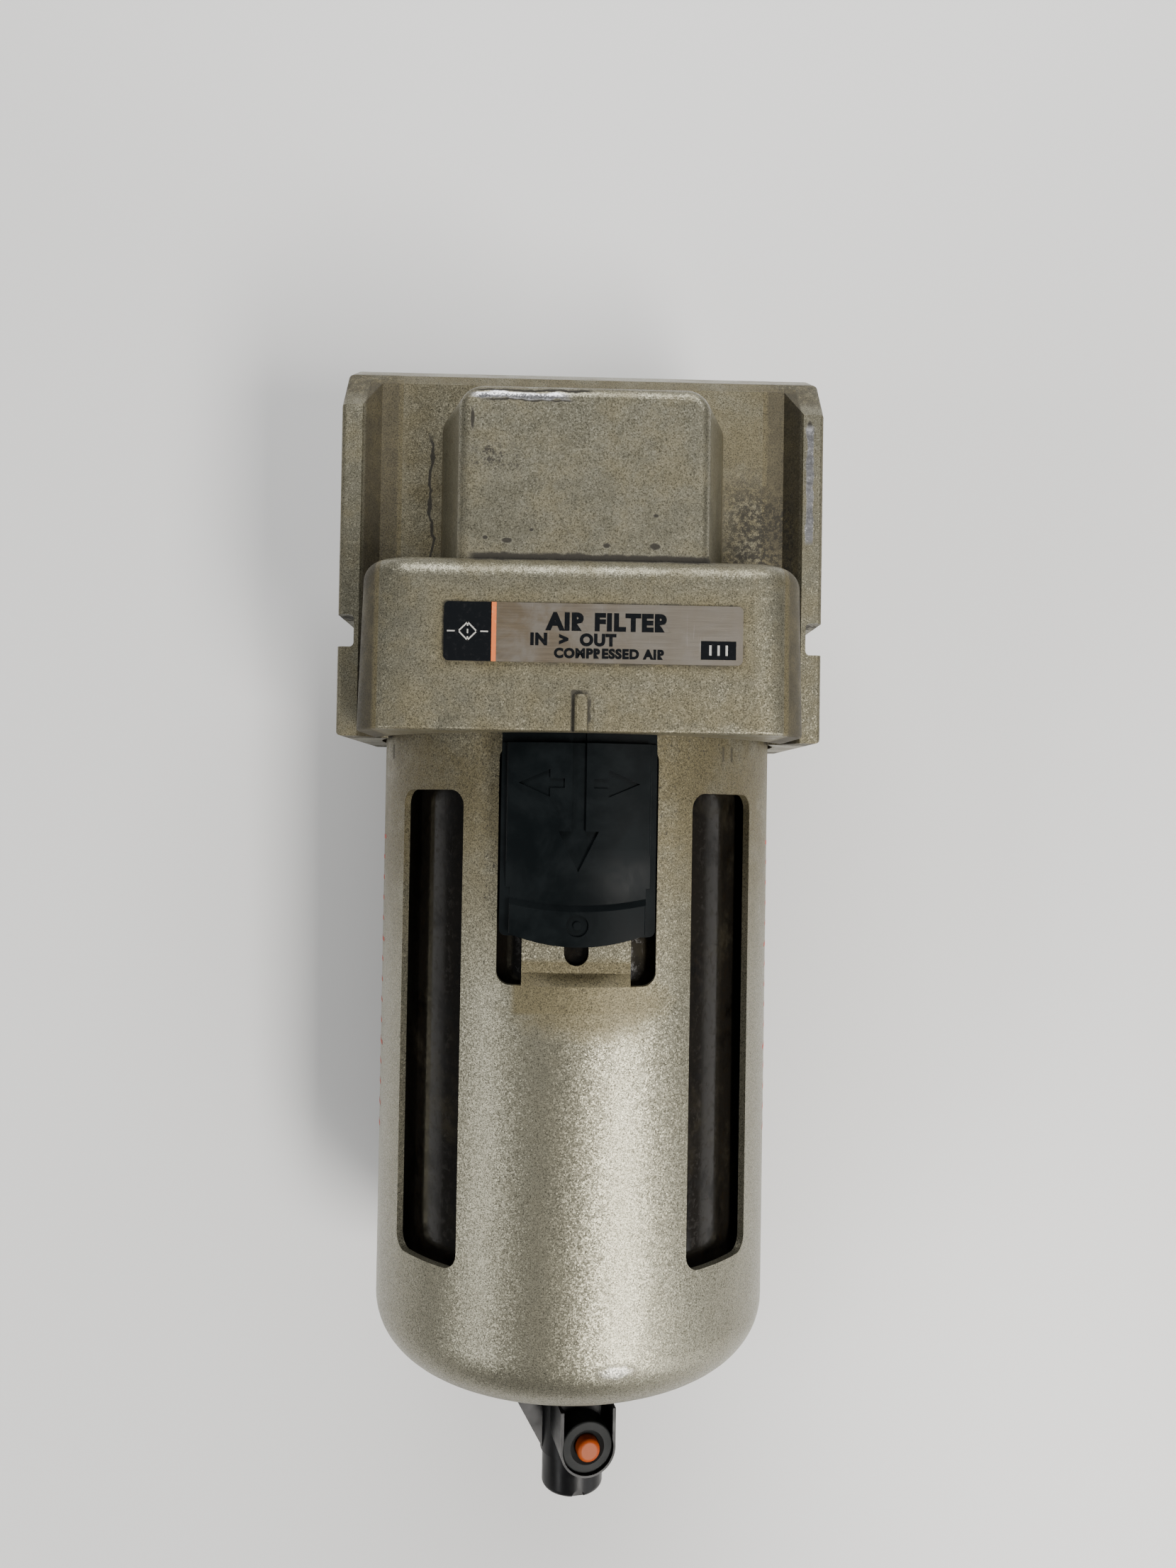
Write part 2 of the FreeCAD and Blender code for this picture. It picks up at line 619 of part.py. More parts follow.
def slot_cut(middle):
    """Tall sight slot; middle is degrees from +X."""
    half = GUARD_R * math.sin(math.radians(SLOT_HALF_ANGLE))
    opening = box(0, THROUGH, -half, half, SLOT_BOTTOM, SLOT_TOP)
    opening = fillet(opening, SLOT_CORNER_R, lambda e: is_straight(e, "x"))
    return turned(opening, middle)


def tongue_root():
    """Bend between the round wall under the window and the flat tongue."""
    half_angle = math.asin(TONGUE_HALF / GUARD_R)
    rim = []
    for radius in (GUARD_R, GUARD_R - GUARD_WALL):
        points = []
        for turn in (-half_angle, 0, half_angle):
            x = radius * math.sin(turn)
            y = -radius * math.cos(turn)
            points.append(FreeCAD.Vector(x, y, WINDOW_BOTTOM))
        rim.append(points)
    outer, inner = rim
    foot = Part.Wire(
        [
            Part.Arc(*outer).toShape(),
            Part.makeLine(outer[2], inner[2]),
            Part.Arc(inner[2], inner[1], inner[0]).toShape(),
            Part.makeLine(inner[0], outer[0]),
        ]
    )
    corners = [
        (-TONGUE_HALF, TONGUE_Y),
        (TONGUE_HALF, TONGUE_Y),
        (TONGUE_HALF, TONGUE_Y + GUARD_WALL),
        (-TONGUE_HALF, TONGUE_Y + GUARD_WALL),
    ]
    points = [FreeCAD.Vector(x, y, TONGUE_BEND) for x, y in corners]
    head = Part.makePolygon(points + [points[0]])
    return Part.makeLoft([foot, head], True, True)


def guard_tongue():
    """Flat tongue that stands up behind the lock button, with its eye and spring tab."""
    back = TONGUE_Y + GUARD_WALL
    tongue = box(-TONGUE_HALF, TONGUE_HALF, TONGUE_Y, back, TONGUE_BEND, TAB_TOP)
    tongue = tongue.fuse(tongue_root())
    eye_z = EYE_BOTTOM + EYE_HALF
    tab_bottom = TAB_TOP - GUARD_WALL
    eye = box(-EYE_HALF, EYE_HALF, -THROUGH, 0, eye_z, tab_bottom)
    eye = eye.fuse(rod(EYE_HALF, (0, -THROUGH, eye_z), (0, 0, eye_z)))
    tab = box(-TAB_HALF, TAB_HALF, TAB_REACH_Y, back, tab_bottom, TAB_TOP)
    return tongue.cut(eye).fuse(tab).removeSplitter()


def make_bowl_guard():
    outside = domed_shell(GUARD_R, GUARD_BOTTOM, GUARD_CORNER_R, LUG_TOP)
    inside = domed_shell(
        GUARD_R - GUARD_WALL,
        GUARD_BOTTOM + GUARD_WALL,
        GUARD_CORNER_R - GUARD_WALL,
        LUG_TOP,
    )
    guard = outside.cut(inside)
    guard = guard.cut(cylinder(GUARD_HOLE_R, GUARD_BOTTOM, GUARD_BOTTOM + GUARD_CORNER_R))
    for middle in (FRONT - SLOT_ANGLE, FRONT + SLOT_ANGLE, BACK - SLOT_ANGLE, BACK + SLOT_ANGLE):
        guard = guard.cut(slot_cut(middle))
    guard = guard.cut(window_cut())
    lug_bottom = LUG_TOP - LUG_THICK
    lug = sector(GUARD_R - 0.5, LUG_R, lug_bottom, LUG_TOP, 0, LUG_HALF_ANGLE)
    return union([guard, guard_tongue()] + both_ways(lug))


# ---- lock button --------------------------------------------------------------------
def front_slab(half, radius, z0, z1):
    """A slab with a flat back and a round front, half wide each side of the middle."""
    block = box(-half, half, -radius - 1, BUTTON_BACK_Y, z0, z1)
    return block.common(cylinder(radius, z0, z1))


def bowed(shape, lowest):
    """The part of a shape above a round bow; lowest is the bow's low point."""
    centre = (0, -THROUGH, lowest + BUTTON_BOW_R)
    return shape.common(rod(BUTTON_BOW_R, centre, (0, 0, lowest + BUTTON_BOW_R)))


def sunken_mark(points, floor_r):
    """Cutter for a mark in a round face: points are (x, z), floor_r is its floor."""
    pocket = prism_y(points, -THROUGH, BUTTON_BACK_Y)
    return pocket.cut(cylinder(floor_r, BUTTON_LOWEST - 1, BUTTON_TOP + 1))


def scooped_round():
    """Round solid whose wall sinks in a smooth S from the panel to the plate's face."""
    half_height = (SCOOP_TOP - GRIP_TOP) / 2
    half_depth = (PANEL_R - BUTTON_PLATE_R) / 2
    bend_r = (half_height ** 2 + half_depth ** 2) / (2 * half_depth)
    half_turn = math.asin(half_height / bend_r) / 2
    across = bend_r * math.cos(half_turn)
    down = bend_r * math.sin(half_turn)
    points = [
        (0, BUTTON_STEP),
        (PANEL_R, BUTTON_STEP),
        (PANEL_R, SCOOP_TOP),
        (PANEL_R - bend_r + across, SCOOP_TOP - down),
        (PANEL_R - half_depth, SCOOP_TOP - half_height),
        (BUTTON_PLATE_R + bend_r - across, GRIP_TOP + down),
        (BUTTON_PLATE_R, GRIP_TOP),
        (BUTTON_PLATE_R, BUTTON_LOWEST),
        (0, BUTTON_LOWEST),
    ]
    p = [FreeCAD.Vector(r, 0, z) for r, z in points]
    edges = [
        Part.makeLine(p[0], p[1]),
        Part.makeLine(p[1], p[2]),
        Part.Arc(p[2], p[3], p[4]).toShape(),
        Part.Arc(p[4], p[5], p[6]).toShape(),
        Part.makeLine(p[6], p[7]),
        Part.makeLine(p[7], p[8]),
        Part.makeLine(p[8], p[0]),
    ]
    return Part.Face(Part.Wire(edges)).revolve(ORIGIN, Z_AXIS, 360)


def button_face():
    """Plate, panel with its scoop, and grip."""
    plate = front_slab(BUTTON_HALF, BUTTON_PLATE_R, BUTTON_CORNER_Z, BUTTON_STEP)

    def lower_corner(e):
        return is_straight(e, "y") and e.BoundBox.ZMax < BUTTON_CORNER_Z + 0.01

    def long_edge(e):
        return is_straight(e, "z") and e.BoundBox.YMax < BUTTON_BACK_Y - 0.5

    plate = fillet(plate, BUTTON_CORNER_R, lower_corner)
    bulge = front_slab(GRIP_HALF, BUTTON_PLATE_R, BUTTON_LOWEST, GRIP_TOP)
    bulge = bowed(bulge, BUTTON_LOWEST)

    # everything above the grip's bevel
    rise = GRIP_BEVEL * BUTTON_PLATE_R
    drop = GRIP_BEVEL * (THROUGH - BUTTON_PLATE_R)
    bevel_outline = [
        (0, GRIP_TOP + rise),
        (0, BUTTON_TOP + rise),
        (-THROUGH, BUTTON_TOP + rise),
        (-THROUGH, GRIP_TOP - drop),
    ]
    above_bevel = prism_x(bevel_outline, -PANEL_HALF - 1, PANEL_HALF + 1)
    wide = front_slab(PANEL_HALF, PANEL_R, GRIP_SIDE_TOP, BUTTON_STEP)
    wide = fillet(wide, BUTTON_EDGE_R, long_edge)
    narrow = front_slab(GRIP_HALF, PANEL_R, GRIP_TOP - 1, GRIP_SIDE_TOP)
    narrow = fillet(narrow, BUTTON_EDGE_R, long_edge)
    panel = wide.fuse(narrow.common(above_bevel)).common(scooped_round())

    grip_lowest = BUTTON_LOWEST + GRIP_LIFT
    grip = front_slab(GRIP_HALF, GRIP_R, grip_lowest, GRIP_SIDE_TOP)
    grip = bowed(grip, grip_lowest).cut(above_bevel)
    grip = fillet(grip, BUTTON_EDGE_R, long_edge)
    face = (0, -GRIP_R, GATE_Z)
    dimple = rod(GATE_DIMPLE_R, (0, -THROUGH, GATE_Z), face)
    dimple.translate(FreeCAD.Vector(0, GATE_DEPTH, 0))
    gate = rod(GATE_R, face, (0, -GRIP_R + 1, GATE_Z))
    return union([plate, bulge, panel, grip.cut(dimple), gate])


def button_rails():
    """Two webs through the window with rails that run behind the guard wall."""
    web_edge = BUTTON_HALF - 0.05
    rail_ring = tube(RAIL_OUT_R, RAIL_IN_R, RAIL_BOTTOM, RAIL_TOP)
    web_ring = tube(GUARD_R + GUARD_WALL, RAIL_IN_R, RAIL_BOTTOM, RAIL_TOP)
    rails = []
    for side in (-1, 1):
        inner = side * RAIL_INNER_X
        web = box(inner, side * web_edge, -THROUGH, 0, RAIL_BOTTOM, RAIL_TOP)
        rail = box(inner, side * RAIL_OUTER_X, -THROUGH, 0, RAIL_BOTTOM, RAIL_TOP)
        rails.append(web.common(web_ring).fuse(rail.common(rail_ring)))
    return rails


def button_arrows():
    """Cutters for the three arrows: down to unlock, then round to either side."""
    above = BUTTON_STEP + 1
    down = [
        (-DOWN_SHAFT_HALF, above),
        (-DOWN_SHAFT_HALF, DOWN_ARROW_NECK),
        (-DOWN_ARROW_HALF, DOWN_ARROW_NECK),
        (0, DOWN_ARROW_TIP),
        (DOWN_ARROW_HALF, DOWN_ARROW_NECK),
        (DOWN_SHAFT_HALF, DOWN_ARROW_NECK),
        (DOWN_SHAFT_HALF, above),
    ]
    shaft = [
        (-DOWN_SHAFT_HALF, BUTTON_STEP),
        (-DOWN_SHAFT_HALF, BUTTON_TOP + 1),
        (DOWN_SHAFT_HALF, BUTTON_TOP + 1),
        (DOWN_SHAFT_HALF, BUTTON_STEP),
    ]
    marks = [
        sunken_mark(down, PANEL_R - DOWN_ARROW_DEPTH),
        sunken_mark(shaft, BUTTON_TONGUE_R - SIDE_ARROW_DEPTH),
    ]
    tail, base, tip = SIDE_ARROW_X
    for side in (-1, 1):
        sideways = [
            (side * tail, SIDE_ARROW_Z + SIDE_SHAFT_HALF),
            (side * base, SIDE_ARROW_Z + SIDE_SHAFT_HALF),
            (side * base, SIDE_ARROW_Z + SIDE_ARROW_HALF),
            (side * tip, SIDE_ARROW_Z),
            (side * base, SIDE_ARROW_Z - SIDE_ARROW_HALF),
            (side * base, SIDE_ARROW_Z - SIDE_SHAFT_HALF),
            (side * tail, SIDE_ARROW_Z - SIDE_SHAFT_HALF),
        ]
        marks.append(sunken_mark(sideways, PANEL_R - SIDE_ARROW_DEPTH))
    return marks


def make_lock_button():
    clear_r = GUARD_R + BUTTON_CLEARANCE
    tongue = box(-BUTTON_HALF, BUTTON_HALF, -THROUGH, 0, BUTTON_STEP, BUTTON_TOP)
    tongue = tongue.common(tube(BUTTON_TONGUE_R, clear_r, BUTTON_STEP, BUTTON_TOP))
    button = union([button_face(), tongue] + button_rails())
    # the back clears the guard wall above the window and below the webs
    button = button.cut(cylinder(clear_r, WINDOW_TOP - WINDOW_PLAY, BUTTON_TOP + 1))
    button = button.cut(cylinder(clear_r, BUTTON_LOWEST - 1, BUTTON_CLEAR_Z))
    half = SPRING_R + SPRING_WIRE_R + SPRING_PLAY
    channel = box(-half, half, SPRING_Y - half, 0, CHANNEL_BOTTOM, SPRING_TOP)
    button = button.cut(channel)
    for mark in button_arrows():
        button = button.cut(mark)
    return button


def make_lock_spring():
    spring = coil(SPRING_R, SPRING_WIRE_R, TAB_TOP, SPRING_TOP, SPRING_TURNS)
    spring.translate(FreeCAD.Vector(0, SPRING_Y, 0))
    return spring


# ---- drain --------------------------------------------------------------------------
# The drain is drawn with its push axis along -Y, then turned by DRAIN_TURN.
def drain_turned(shape):
    return turned(shape, DRAIN_TURN)


def valve_rod(radius, out_from, out_to):
    """A cylinder on the valve axis between two distances out from the bowl axis."""
    return rod(radius, (0, -out_from, VALVE_Z), (0, -out_to, VALVE_Z))


def make_drain_body():
    flange = cylinder(SHOULDER_R, SHOULDER_TOP - SHOULDER_THICK, SHOULDER_TOP)
    neck = cylinder(NECK_R, SHOULDER_TOP - 1, NECK_TOP)
    spout = cylinder(SPOUT_R, SPOUT_BOTTOM, SPOUT_STEP, 0, -SPOUT_OUT)
    spout = fillet(spout, SPOUT_EDGE_R, lambda e: e.BoundBox.ZMax < SPOUT_BOTTOM + NEAR)
    column = cylinder(COLUMN_R, SPOUT_STEP, SHOULDER_TOP - 1, 0, -SPOUT_OUT)
    trunk = cylinder(TRUNK_R, VALVE_Z, SHOULDER_TOP - 1)
    web_top = SHOULDER_TOP - SHOULDER_THICK + 0.1
    web_outline = [(-SHOULDER_R, web_top), (0, web_top), (0, SPOUT_STEP), (-SPOUT_R, SPOUT_STEP)]
    web = prism_y(web_outline, -SPOUT_OUT - WEB_THICK / 2, -SPOUT_OUT + WEB_THICK / 2)
    barrel = valve_rod(VALVE_HALF, VALVE_FRONT, VALVE_REAR)
    walls = box(-VALVE_HALF, VALVE_HALF, -VALVE_FRONT, -VALVE_REAR, VALVE_Z, VALVE_TOP)
    body = union([flange, neck, spout, column, trunk, web, barrel, walls])
    # open-topped pocket round the collar
    half = COLLAR_R - 0.1
    pocket = box(-half, half, -VALVE_FRONT, -POCKET_BACK, VALVE_Z, VALVE_TOP)
    seat = valve_rod(COLLAR_R + 0.02, VALVE_FRONT, POCKET_BACK)
    body = body.cut(pocket).cut(seat)
    # valve bore either side of the seat, water way in from the bowl, way out of the spout
    body = body.cut(valve_rod(STEM_BORE_R, VALVE_FRONT, SEAT_FRONT))
    body = body.cut(valve_rod(SEAT_HOLE_R, SEAT_FRONT, SEAT_REAR))
    body = body.cut(valve_rod(STEM_BORE_R, SEAT_REAR, BORE_END))
    body = body.cut(cylinder(WAY_IN_R, VALVE_Z, NECK_TOP, 0, WAY_IN_BACK))
    body = body.cut(cylinder(SPOUT_BORE_R, SPOUT_BOTTOM, VALVE_Z, 0, -SPOUT_OUT))
    notch_z = SPOUT_BOTTOM + 0.2
    notch_back = -SPOUT_OUT - SPOUT_R + SPOUT_NOTCH_DEPTH
    notch = rod(SPOUT_NOTCH_R, (0, -THROUGH, notch_z), (0, notch_back, notch_z))
    return drain_turned(body.cut(notch))


def make_drain_o_ring():
    return torus(DRAIN_SEAL_R, DRAIN_SEAL_WIRE_R, NUT_BOTTOM - DRAIN_SEAL_WIRE_R - 0.03)


def make_drain_nut():
    """Hexagon nut that clamps the drain through the bowl floor, chamfered on top."""
    top = NUT_BOTTOM + NUT_HEIGHT
    corners = []
    for i in range(6):
        angle = math.radians(60 * i)
        corners.append((NUT_CORNER_R * math.cos(angle), NUT_CORNER_R * math.sin(angle)))
    nut = prism_z(corners, NUT_BOTTOM, top)
    foot = FreeCAD.Vector(0, 0, NUT_BOTTOM)
    cone = Part.makeCone(NUT_CORNER_R + 2, NUT_CROWN_R, NUT_HEIGHT, foot)
    return nut.common(cone).cut(cylinder(NECK_R + 0.05, NUT_BOTTOM, top))


def make_drain_collar():
    hole_r = DRAIN_BUTTON_R + BUTTON_PLAY
    collar = valve_rod(COLLAR_R, POCKET_BACK, COLLAR_FACE)
    collar = fillet(collar, COLLAR_EDGE_R, lambda e: e.BoundBox.YMax < -COLLAR_FACE + NEAR)
    collar = collar.cut(valve_rod(hole_r, POCKET_BACK, COLLAR_FACE))
    face = FreeCAD.Vector(0, -COLLAR_FACE, VALVE_Z)
    mouth = Part.makeCone(COLLAR_MOUTH_R, hole_r, 0.4, face, FreeCAD.Vector(0, 1, 0))
    return drain_turned(collar.cut(mouth))


def make_drain_button():
    tip = DRAIN_BUTTON_TIP
    button = valve_rod(DRAIN_BUTTON_R, PLUNGER_ROOT, tip)
    button = fillet(button, TIP_EDGE_R, lambda e: e.BoundBox.YMax < -tip + NEAR)
    shoulder = valve_rod(STEM_BORE_R - BUTTON_PLAY, PLUNGER_ROOT + 1.1, PLUNGER_ROOT)
    return drain_turned(union([button, shoulder]))


def make_drain_stem():
    groove_half = STEM_SEAL_WIRE_R + 0.03
    groove_front = STEM_SEAL_OUT + groove_half
    groove_rear = STEM_SEAL_OUT - groove_half
    land_r = STEM_BORE_R - BUTTON_PLAY
    pieces = [
        valve_rod(STEM_R, groove_rear, STEM_END),
        valve_rod(land_r, PLUNGER_ROOT, groove_front),
        valve_rod(STEM_GROOVE_R, groove_front, groove_rear),
        valve_rod(land_r, groove_rear, groove_rear - 0.4),
        valve_rod(STEM_HEAD_R, SEAT_SEAL_REAR, STEM_END),
    ]
    return drain_turned(union(pieces))


def make_stem_o_ring():
    centre = FreeCAD.Vector(0, -STEM_SEAL_OUT, VALVE_Z)
    ring_r = STEM_GROOVE_R + STEM_SEAL_WIRE_R
    ring = Part.makeTorus(ring_r, STEM_SEAL_WIRE_R, centre, FreeCAD.Vector(0, 1, 0))
    return drain_turned(ring)


def make_drain_seat_seal():
    """Rubber washer on the stem that closes the seat from behind."""
    washer = valve_rod(SEAT_SEAL_R, SEAT_REAR, SEAT_SEAL_REAR)
    return drain_turned(washer.cut(valve_rod(STEM_R, SEAT_REAR, SEAT_SEAL_REAR)))


def make_drain_spring():
    length = STEM_END - BORE_END
    spring = coil(DRAIN_SPRING_R, DRAIN_SPRING_WIRE_R, 0, length, DRAIN_SPRING_TURNS)
    spring.rotate(ORIGIN, FreeCAD.Vector(1, 0, 0), -90)
    spring.translate(FreeCAD.Vector(0, -STEM_END, VALVE_Z))
    return drain_turned(spring)


def main():
    nodes = {
        "body": make_body(),
        "name_plate": make_name_plate(),
        "deflector": make_deflector(),
        "element_top_gasket": make_element_gasket(ELEMENT_TOP),
        "filter_element": make_filter_element(),
        "element_bottom_gasket": make_element_gasket(ELEMENT_BOTTOM - GASKET),
        "baffle": make_baffle(),
        "bowl_o_ring": make_bowl_o_ring(),
        "bowl": make_bowl(),
        "bowl_guard": make_bowl_guard(),
        "lock_button": make_lock_button(),
        "lock_spring": make_lock_spring(),
        "drain_body": make_drain_body(),
        "drain_o_ring": make_drain_o_ring(),
        "drain_nut": make_drain_nut(),
        "drain_collar": make_drain_collar(),
        "drain_button": make_drain_button(),
        "drain_stem": make_drain_stem(),
        "stem_o_ring": make_stem_o_ring(),
        "drain_seat_seal": make_drain_seat_seal(),
        "drain_spring": make_drain_spring(),
    }
    os.makedirs("parts", exist_ok=True)
    for name, shape in nodes.items():
        shape.exportStep(f"parts/{name}.step")


main()
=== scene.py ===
"""Look of the compressed air filter: finishes, port threads, label print and level marks."""
import json
import math

import bpy
from mathutils import Euler, Matrix, Vector

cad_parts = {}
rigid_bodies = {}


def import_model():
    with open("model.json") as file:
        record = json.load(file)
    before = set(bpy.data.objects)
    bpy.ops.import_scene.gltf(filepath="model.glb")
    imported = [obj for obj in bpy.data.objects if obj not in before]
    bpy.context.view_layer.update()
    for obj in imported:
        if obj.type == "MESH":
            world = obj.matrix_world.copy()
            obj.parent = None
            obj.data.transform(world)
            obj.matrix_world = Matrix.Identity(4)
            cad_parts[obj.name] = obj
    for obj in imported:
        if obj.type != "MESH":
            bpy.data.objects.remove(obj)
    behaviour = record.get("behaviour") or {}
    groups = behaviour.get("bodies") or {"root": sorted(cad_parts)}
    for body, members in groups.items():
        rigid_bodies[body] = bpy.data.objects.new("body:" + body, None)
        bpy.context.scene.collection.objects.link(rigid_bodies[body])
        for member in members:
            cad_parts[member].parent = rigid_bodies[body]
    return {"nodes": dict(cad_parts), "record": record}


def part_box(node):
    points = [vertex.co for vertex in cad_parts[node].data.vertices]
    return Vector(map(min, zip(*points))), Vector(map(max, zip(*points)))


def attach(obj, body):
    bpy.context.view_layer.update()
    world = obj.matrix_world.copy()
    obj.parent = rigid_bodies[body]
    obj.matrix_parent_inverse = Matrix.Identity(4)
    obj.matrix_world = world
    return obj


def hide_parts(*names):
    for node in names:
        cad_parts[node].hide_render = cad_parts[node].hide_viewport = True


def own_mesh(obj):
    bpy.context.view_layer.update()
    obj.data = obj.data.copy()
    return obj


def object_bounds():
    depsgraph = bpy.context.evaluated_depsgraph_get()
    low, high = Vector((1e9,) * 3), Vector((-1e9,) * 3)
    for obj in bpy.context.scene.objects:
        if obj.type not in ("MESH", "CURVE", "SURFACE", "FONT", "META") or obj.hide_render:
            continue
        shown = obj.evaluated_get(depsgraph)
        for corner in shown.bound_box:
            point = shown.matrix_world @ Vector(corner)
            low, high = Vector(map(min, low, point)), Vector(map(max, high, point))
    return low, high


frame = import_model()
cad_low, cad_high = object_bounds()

MM = 0.001


# ---- node helpers -------------------------------------------------------------------
class Finish:
    """A material being built: short calls for its nodes, round one Principled shader."""

    def __init__(self, name):
        self.material = bpy.data.materials.new(name)
        self.material.use_nodes = True
        self.nodes = self.material.node_tree.nodes
        self.links = self.material.node_tree.links
        self.shader = self.nodes["Principled BSDF"]
        self.place = self.new("ShaderNodeTexCoord").outputs["Object"]
        split = self.new("ShaderNodeSeparateXYZ")
        self.feed(split.inputs[0], self.place)
        self.x, self.y, self.z = split.outputs

    def new(self, kind, **settings):
        node = self.nodes.new(kind)
        for key, value in settings.items():
            setattr(node, key, value)
        return node

    def feed(self, socket, value):
        """Links the socket to another node's output, or sets it to a constant."""
        if isinstance(value, bpy.types.NodeSocket):
            self.links.new(value, socket)
        else:
            socket.default_value = value

    def math(self, operation, a, b=0.0, clamp=False):
        node = self.new("ShaderNodeMath", operation=operation, use_clamp=clamp)
        self.feed(node.inputs[0], a)
        self.feed(node.inputs[1], b)
        return node.outputs[0]

    def times(self, *values):
        """Product of all values."""
        result = values[0]
        for value in values[1:]:
            result = self.math("MULTIPLY", result, value)
        return result

    def most(self, *values):
        """Largest of all values."""
        result = values[0]
        for value in values[1:]:
            result = self.math("MAXIMUM", result, value)
        return result

    def less(self, value, amount):
        """Value minus amount."""
        return self.math("SUBTRACT", value, amount)

    def unsigned(self, value):
        """Value without its sign, for marks that are the same on both sides."""
        return self.math("ABSOLUTE", value)

    def flip(self, value):
        """One minus value, kept within 0 and 1."""
        return self.math("SUBTRACT", 1.0, value, clamp=True)

    def scaled(self, factors, offset=(0.0, 0.0, 0.0)):
        """Place with each axis multiplied, for streaks, and moved, for a fresh pattern."""
        node = self.new("ShaderNodeMapping")
        self.feed(node.inputs["Vector"], self.place)
        self.feed(node.inputs["Scale"], factors)
        self.feed(node.inputs["Location"], offset)
        return node.outputs[0]

    def noise(self, size, detail=3.0, roughness=0.55, warp=0.0, place=None, shift=0.0):
        """Smooth noise from 0 to 1 whose features are about size metres across."""
        node = self.new("ShaderNodeTexNoise", noise_dimensions="4D")
        self.feed(node.inputs["Vector"], place or self.place)
        self.feed(node.inputs["W"], shift)
        self.feed(node.inputs["Scale"], 1.0 / size)
        self.feed(node.inputs["Detail"], detail)
        self.feed(node.inputs["Roughness"], roughness)
        self.feed(node.inputs["Distortion"], warp)
        return node.outputs[0]

    def cells(self, size, feature="F1", place=None, shift=0.0):
        """Random cells about size metres across: the node, for its distance and colour."""
        node = self.new("ShaderNodeTexVoronoi", voronoi_dimensions="4D", feature=feature)
        self.feed(node.inputs["Vector"], place or self.place)
        self.feed(node.inputs["W"], shift)
        self.feed(node.inputs["Scale"], 1.0 / size)
        return node

    def ramp(self, value, low, high, out_low=0.0, out_high=1.0):
        """Smooth step from out_low at low to out_high at high; low may exceed high."""
        node = self.new("ShaderNodeMapRange", interpolation_type="SMOOTHSTEP")
        self.feed(node.inputs["Value"], value)
        self.feed(node.inputs["From Min"], low)
        self.feed(node.inputs["From Max"], high)
        self.feed(node.inputs["To Min"], out_low)
        self.feed(node.inputs["To Max"], out_high)
        return node.outputs[0]

    def near(self, value, centre, half, soft):
        """1 within half of centre, falling to 0 over soft."""
        away = self.unsigned(self.less(value, centre))
        return self.ramp(away, half + soft, half)

    def pushed(self, value, noise, amount):
        """Value moved up or down by half of amount, as the noise goes from 0 to 1."""
        node = self.new("ShaderNodeMath", operation="MULTIPLY_ADD")
        self.feed(node.inputs[0], self.less(noise, 0.5))
        self.feed(node.inputs[1], amount)
        self.feed(node.inputs[2], value)
        return node.outputs[0]

    def blot(self, place, radii, ragged=0.3, soft=0.25, grain=1.0 * MM, shift=0.0):
        """Ragged ellipse seen from the front: place and radii are (x, z)."""
        factors = (1.0 / radii[0], 0.0, 1.0 / radii[1])
        offset = (-place[0] / radii[0], 0.0, -place[1] / radii[1])
        length = self.new("ShaderNodeVectorMath", operation="LENGTH")
        self.feed(length.inputs[0], self.scaled(factors, offset))
        rough_edge = self.noise(grain, detail=4.0, roughness=0.7, shift=shift)
        away = self.pushed(length.outputs["Value"], rough_edge, 2.0 * ragged)
        return self.ramp(away, 1.0 + soft, 1.0 - soft)

    def front(self, depth):
        """1 where y is further forward than depth."""
        return self.ramp(self.y, -depth + 0.3 * MM, -depth - 0.3 * MM)

    def mix(self, factor, a, b, blend="MIX"):
        """Colour a with b blended in by factor."""
        node = self.new("ShaderNodeMix", data_type="RGBA", blend_type=blend)
        self.feed(node.inputs["Factor"], factor)
        self.feed(node.inputs["A"], a)
        self.feed(node.inputs["B"], b)
        return node.outputs["Result"]

    def grade(self, factor, a, b):
        """Number that goes from a to b as factor goes from 0 to 1."""
        node = self.new("ShaderNodeMix", data_type="FLOAT")
        self.feed(node.inputs[0], factor)
        self.feed(node.inputs[2], a)
        self.feed(node.inputs[3], b)
        return node.outputs[0]

    def crevice(self, reach):
        """1 deep in corners and gaps, 0 on open surfaces."""
        node = self.new("ShaderNodeAmbientOcclusion", samples=8)
        self.feed(node.inputs["Distance"], reach)
        return self.flip(node.outputs["AO"])

    def bump(self, height, depth, base=None):
        """Normal of a surface whose height goes from 0 to depth metres."""
        node = self.new("ShaderNodeBump")
        self.feed(node.inputs["Height"], height)
        self.feed(node.inputs["Distance"], depth)
        self.feed(node.inputs["Strength"], 1.0)
        if base is not None:
            self.feed(node.inputs["Normal"], base)
        return node.outputs[0]

    def flakes(self, cell_colour, tilt, base):
        """Normal tipped a little at random in each cell, as metal flakes lie in paint."""
        centred = self.new("ShaderNodeVectorMath", operation="SUBTRACT")
        self.feed(centred.inputs[0], cell_colour)
        self.feed(centred.inputs[1], (0.5, 0.5, 0.5))
        small = self.new("ShaderNodeVectorMath", operation="SCALE")
        self.feed(small.inputs[0], centred.outputs[0])
        self.feed(small.inputs["Scale"], tilt)
        tipped = self.new("ShaderNodeVectorMath", operation="ADD")
        self.feed(tipped.inputs[0], base)
        self.feed(tipped.inputs[1], small.outputs[0])
        unit = self.new("ShaderNodeVectorMath", operation="NORMALIZE")
        self.feed(unit.inputs[0], tipped.outputs[0])
        return unit.outputs[0]

    def done(self, **inputs):
        """Fills the shader's sockets, named with underscores for spaces."""
        for key, value in inputs.items():
            self.feed(self.shader.inputs[key.replace("_", " ")], value)
        return self.material


def rgb(red, green, blue):
    """Colour with full alpha, from linear values."""
    return (red, green, blue, 1.0)


def middle(node):
    """Middle of a CAD node's box."""
    low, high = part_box(node)
    return (low + high) / 2


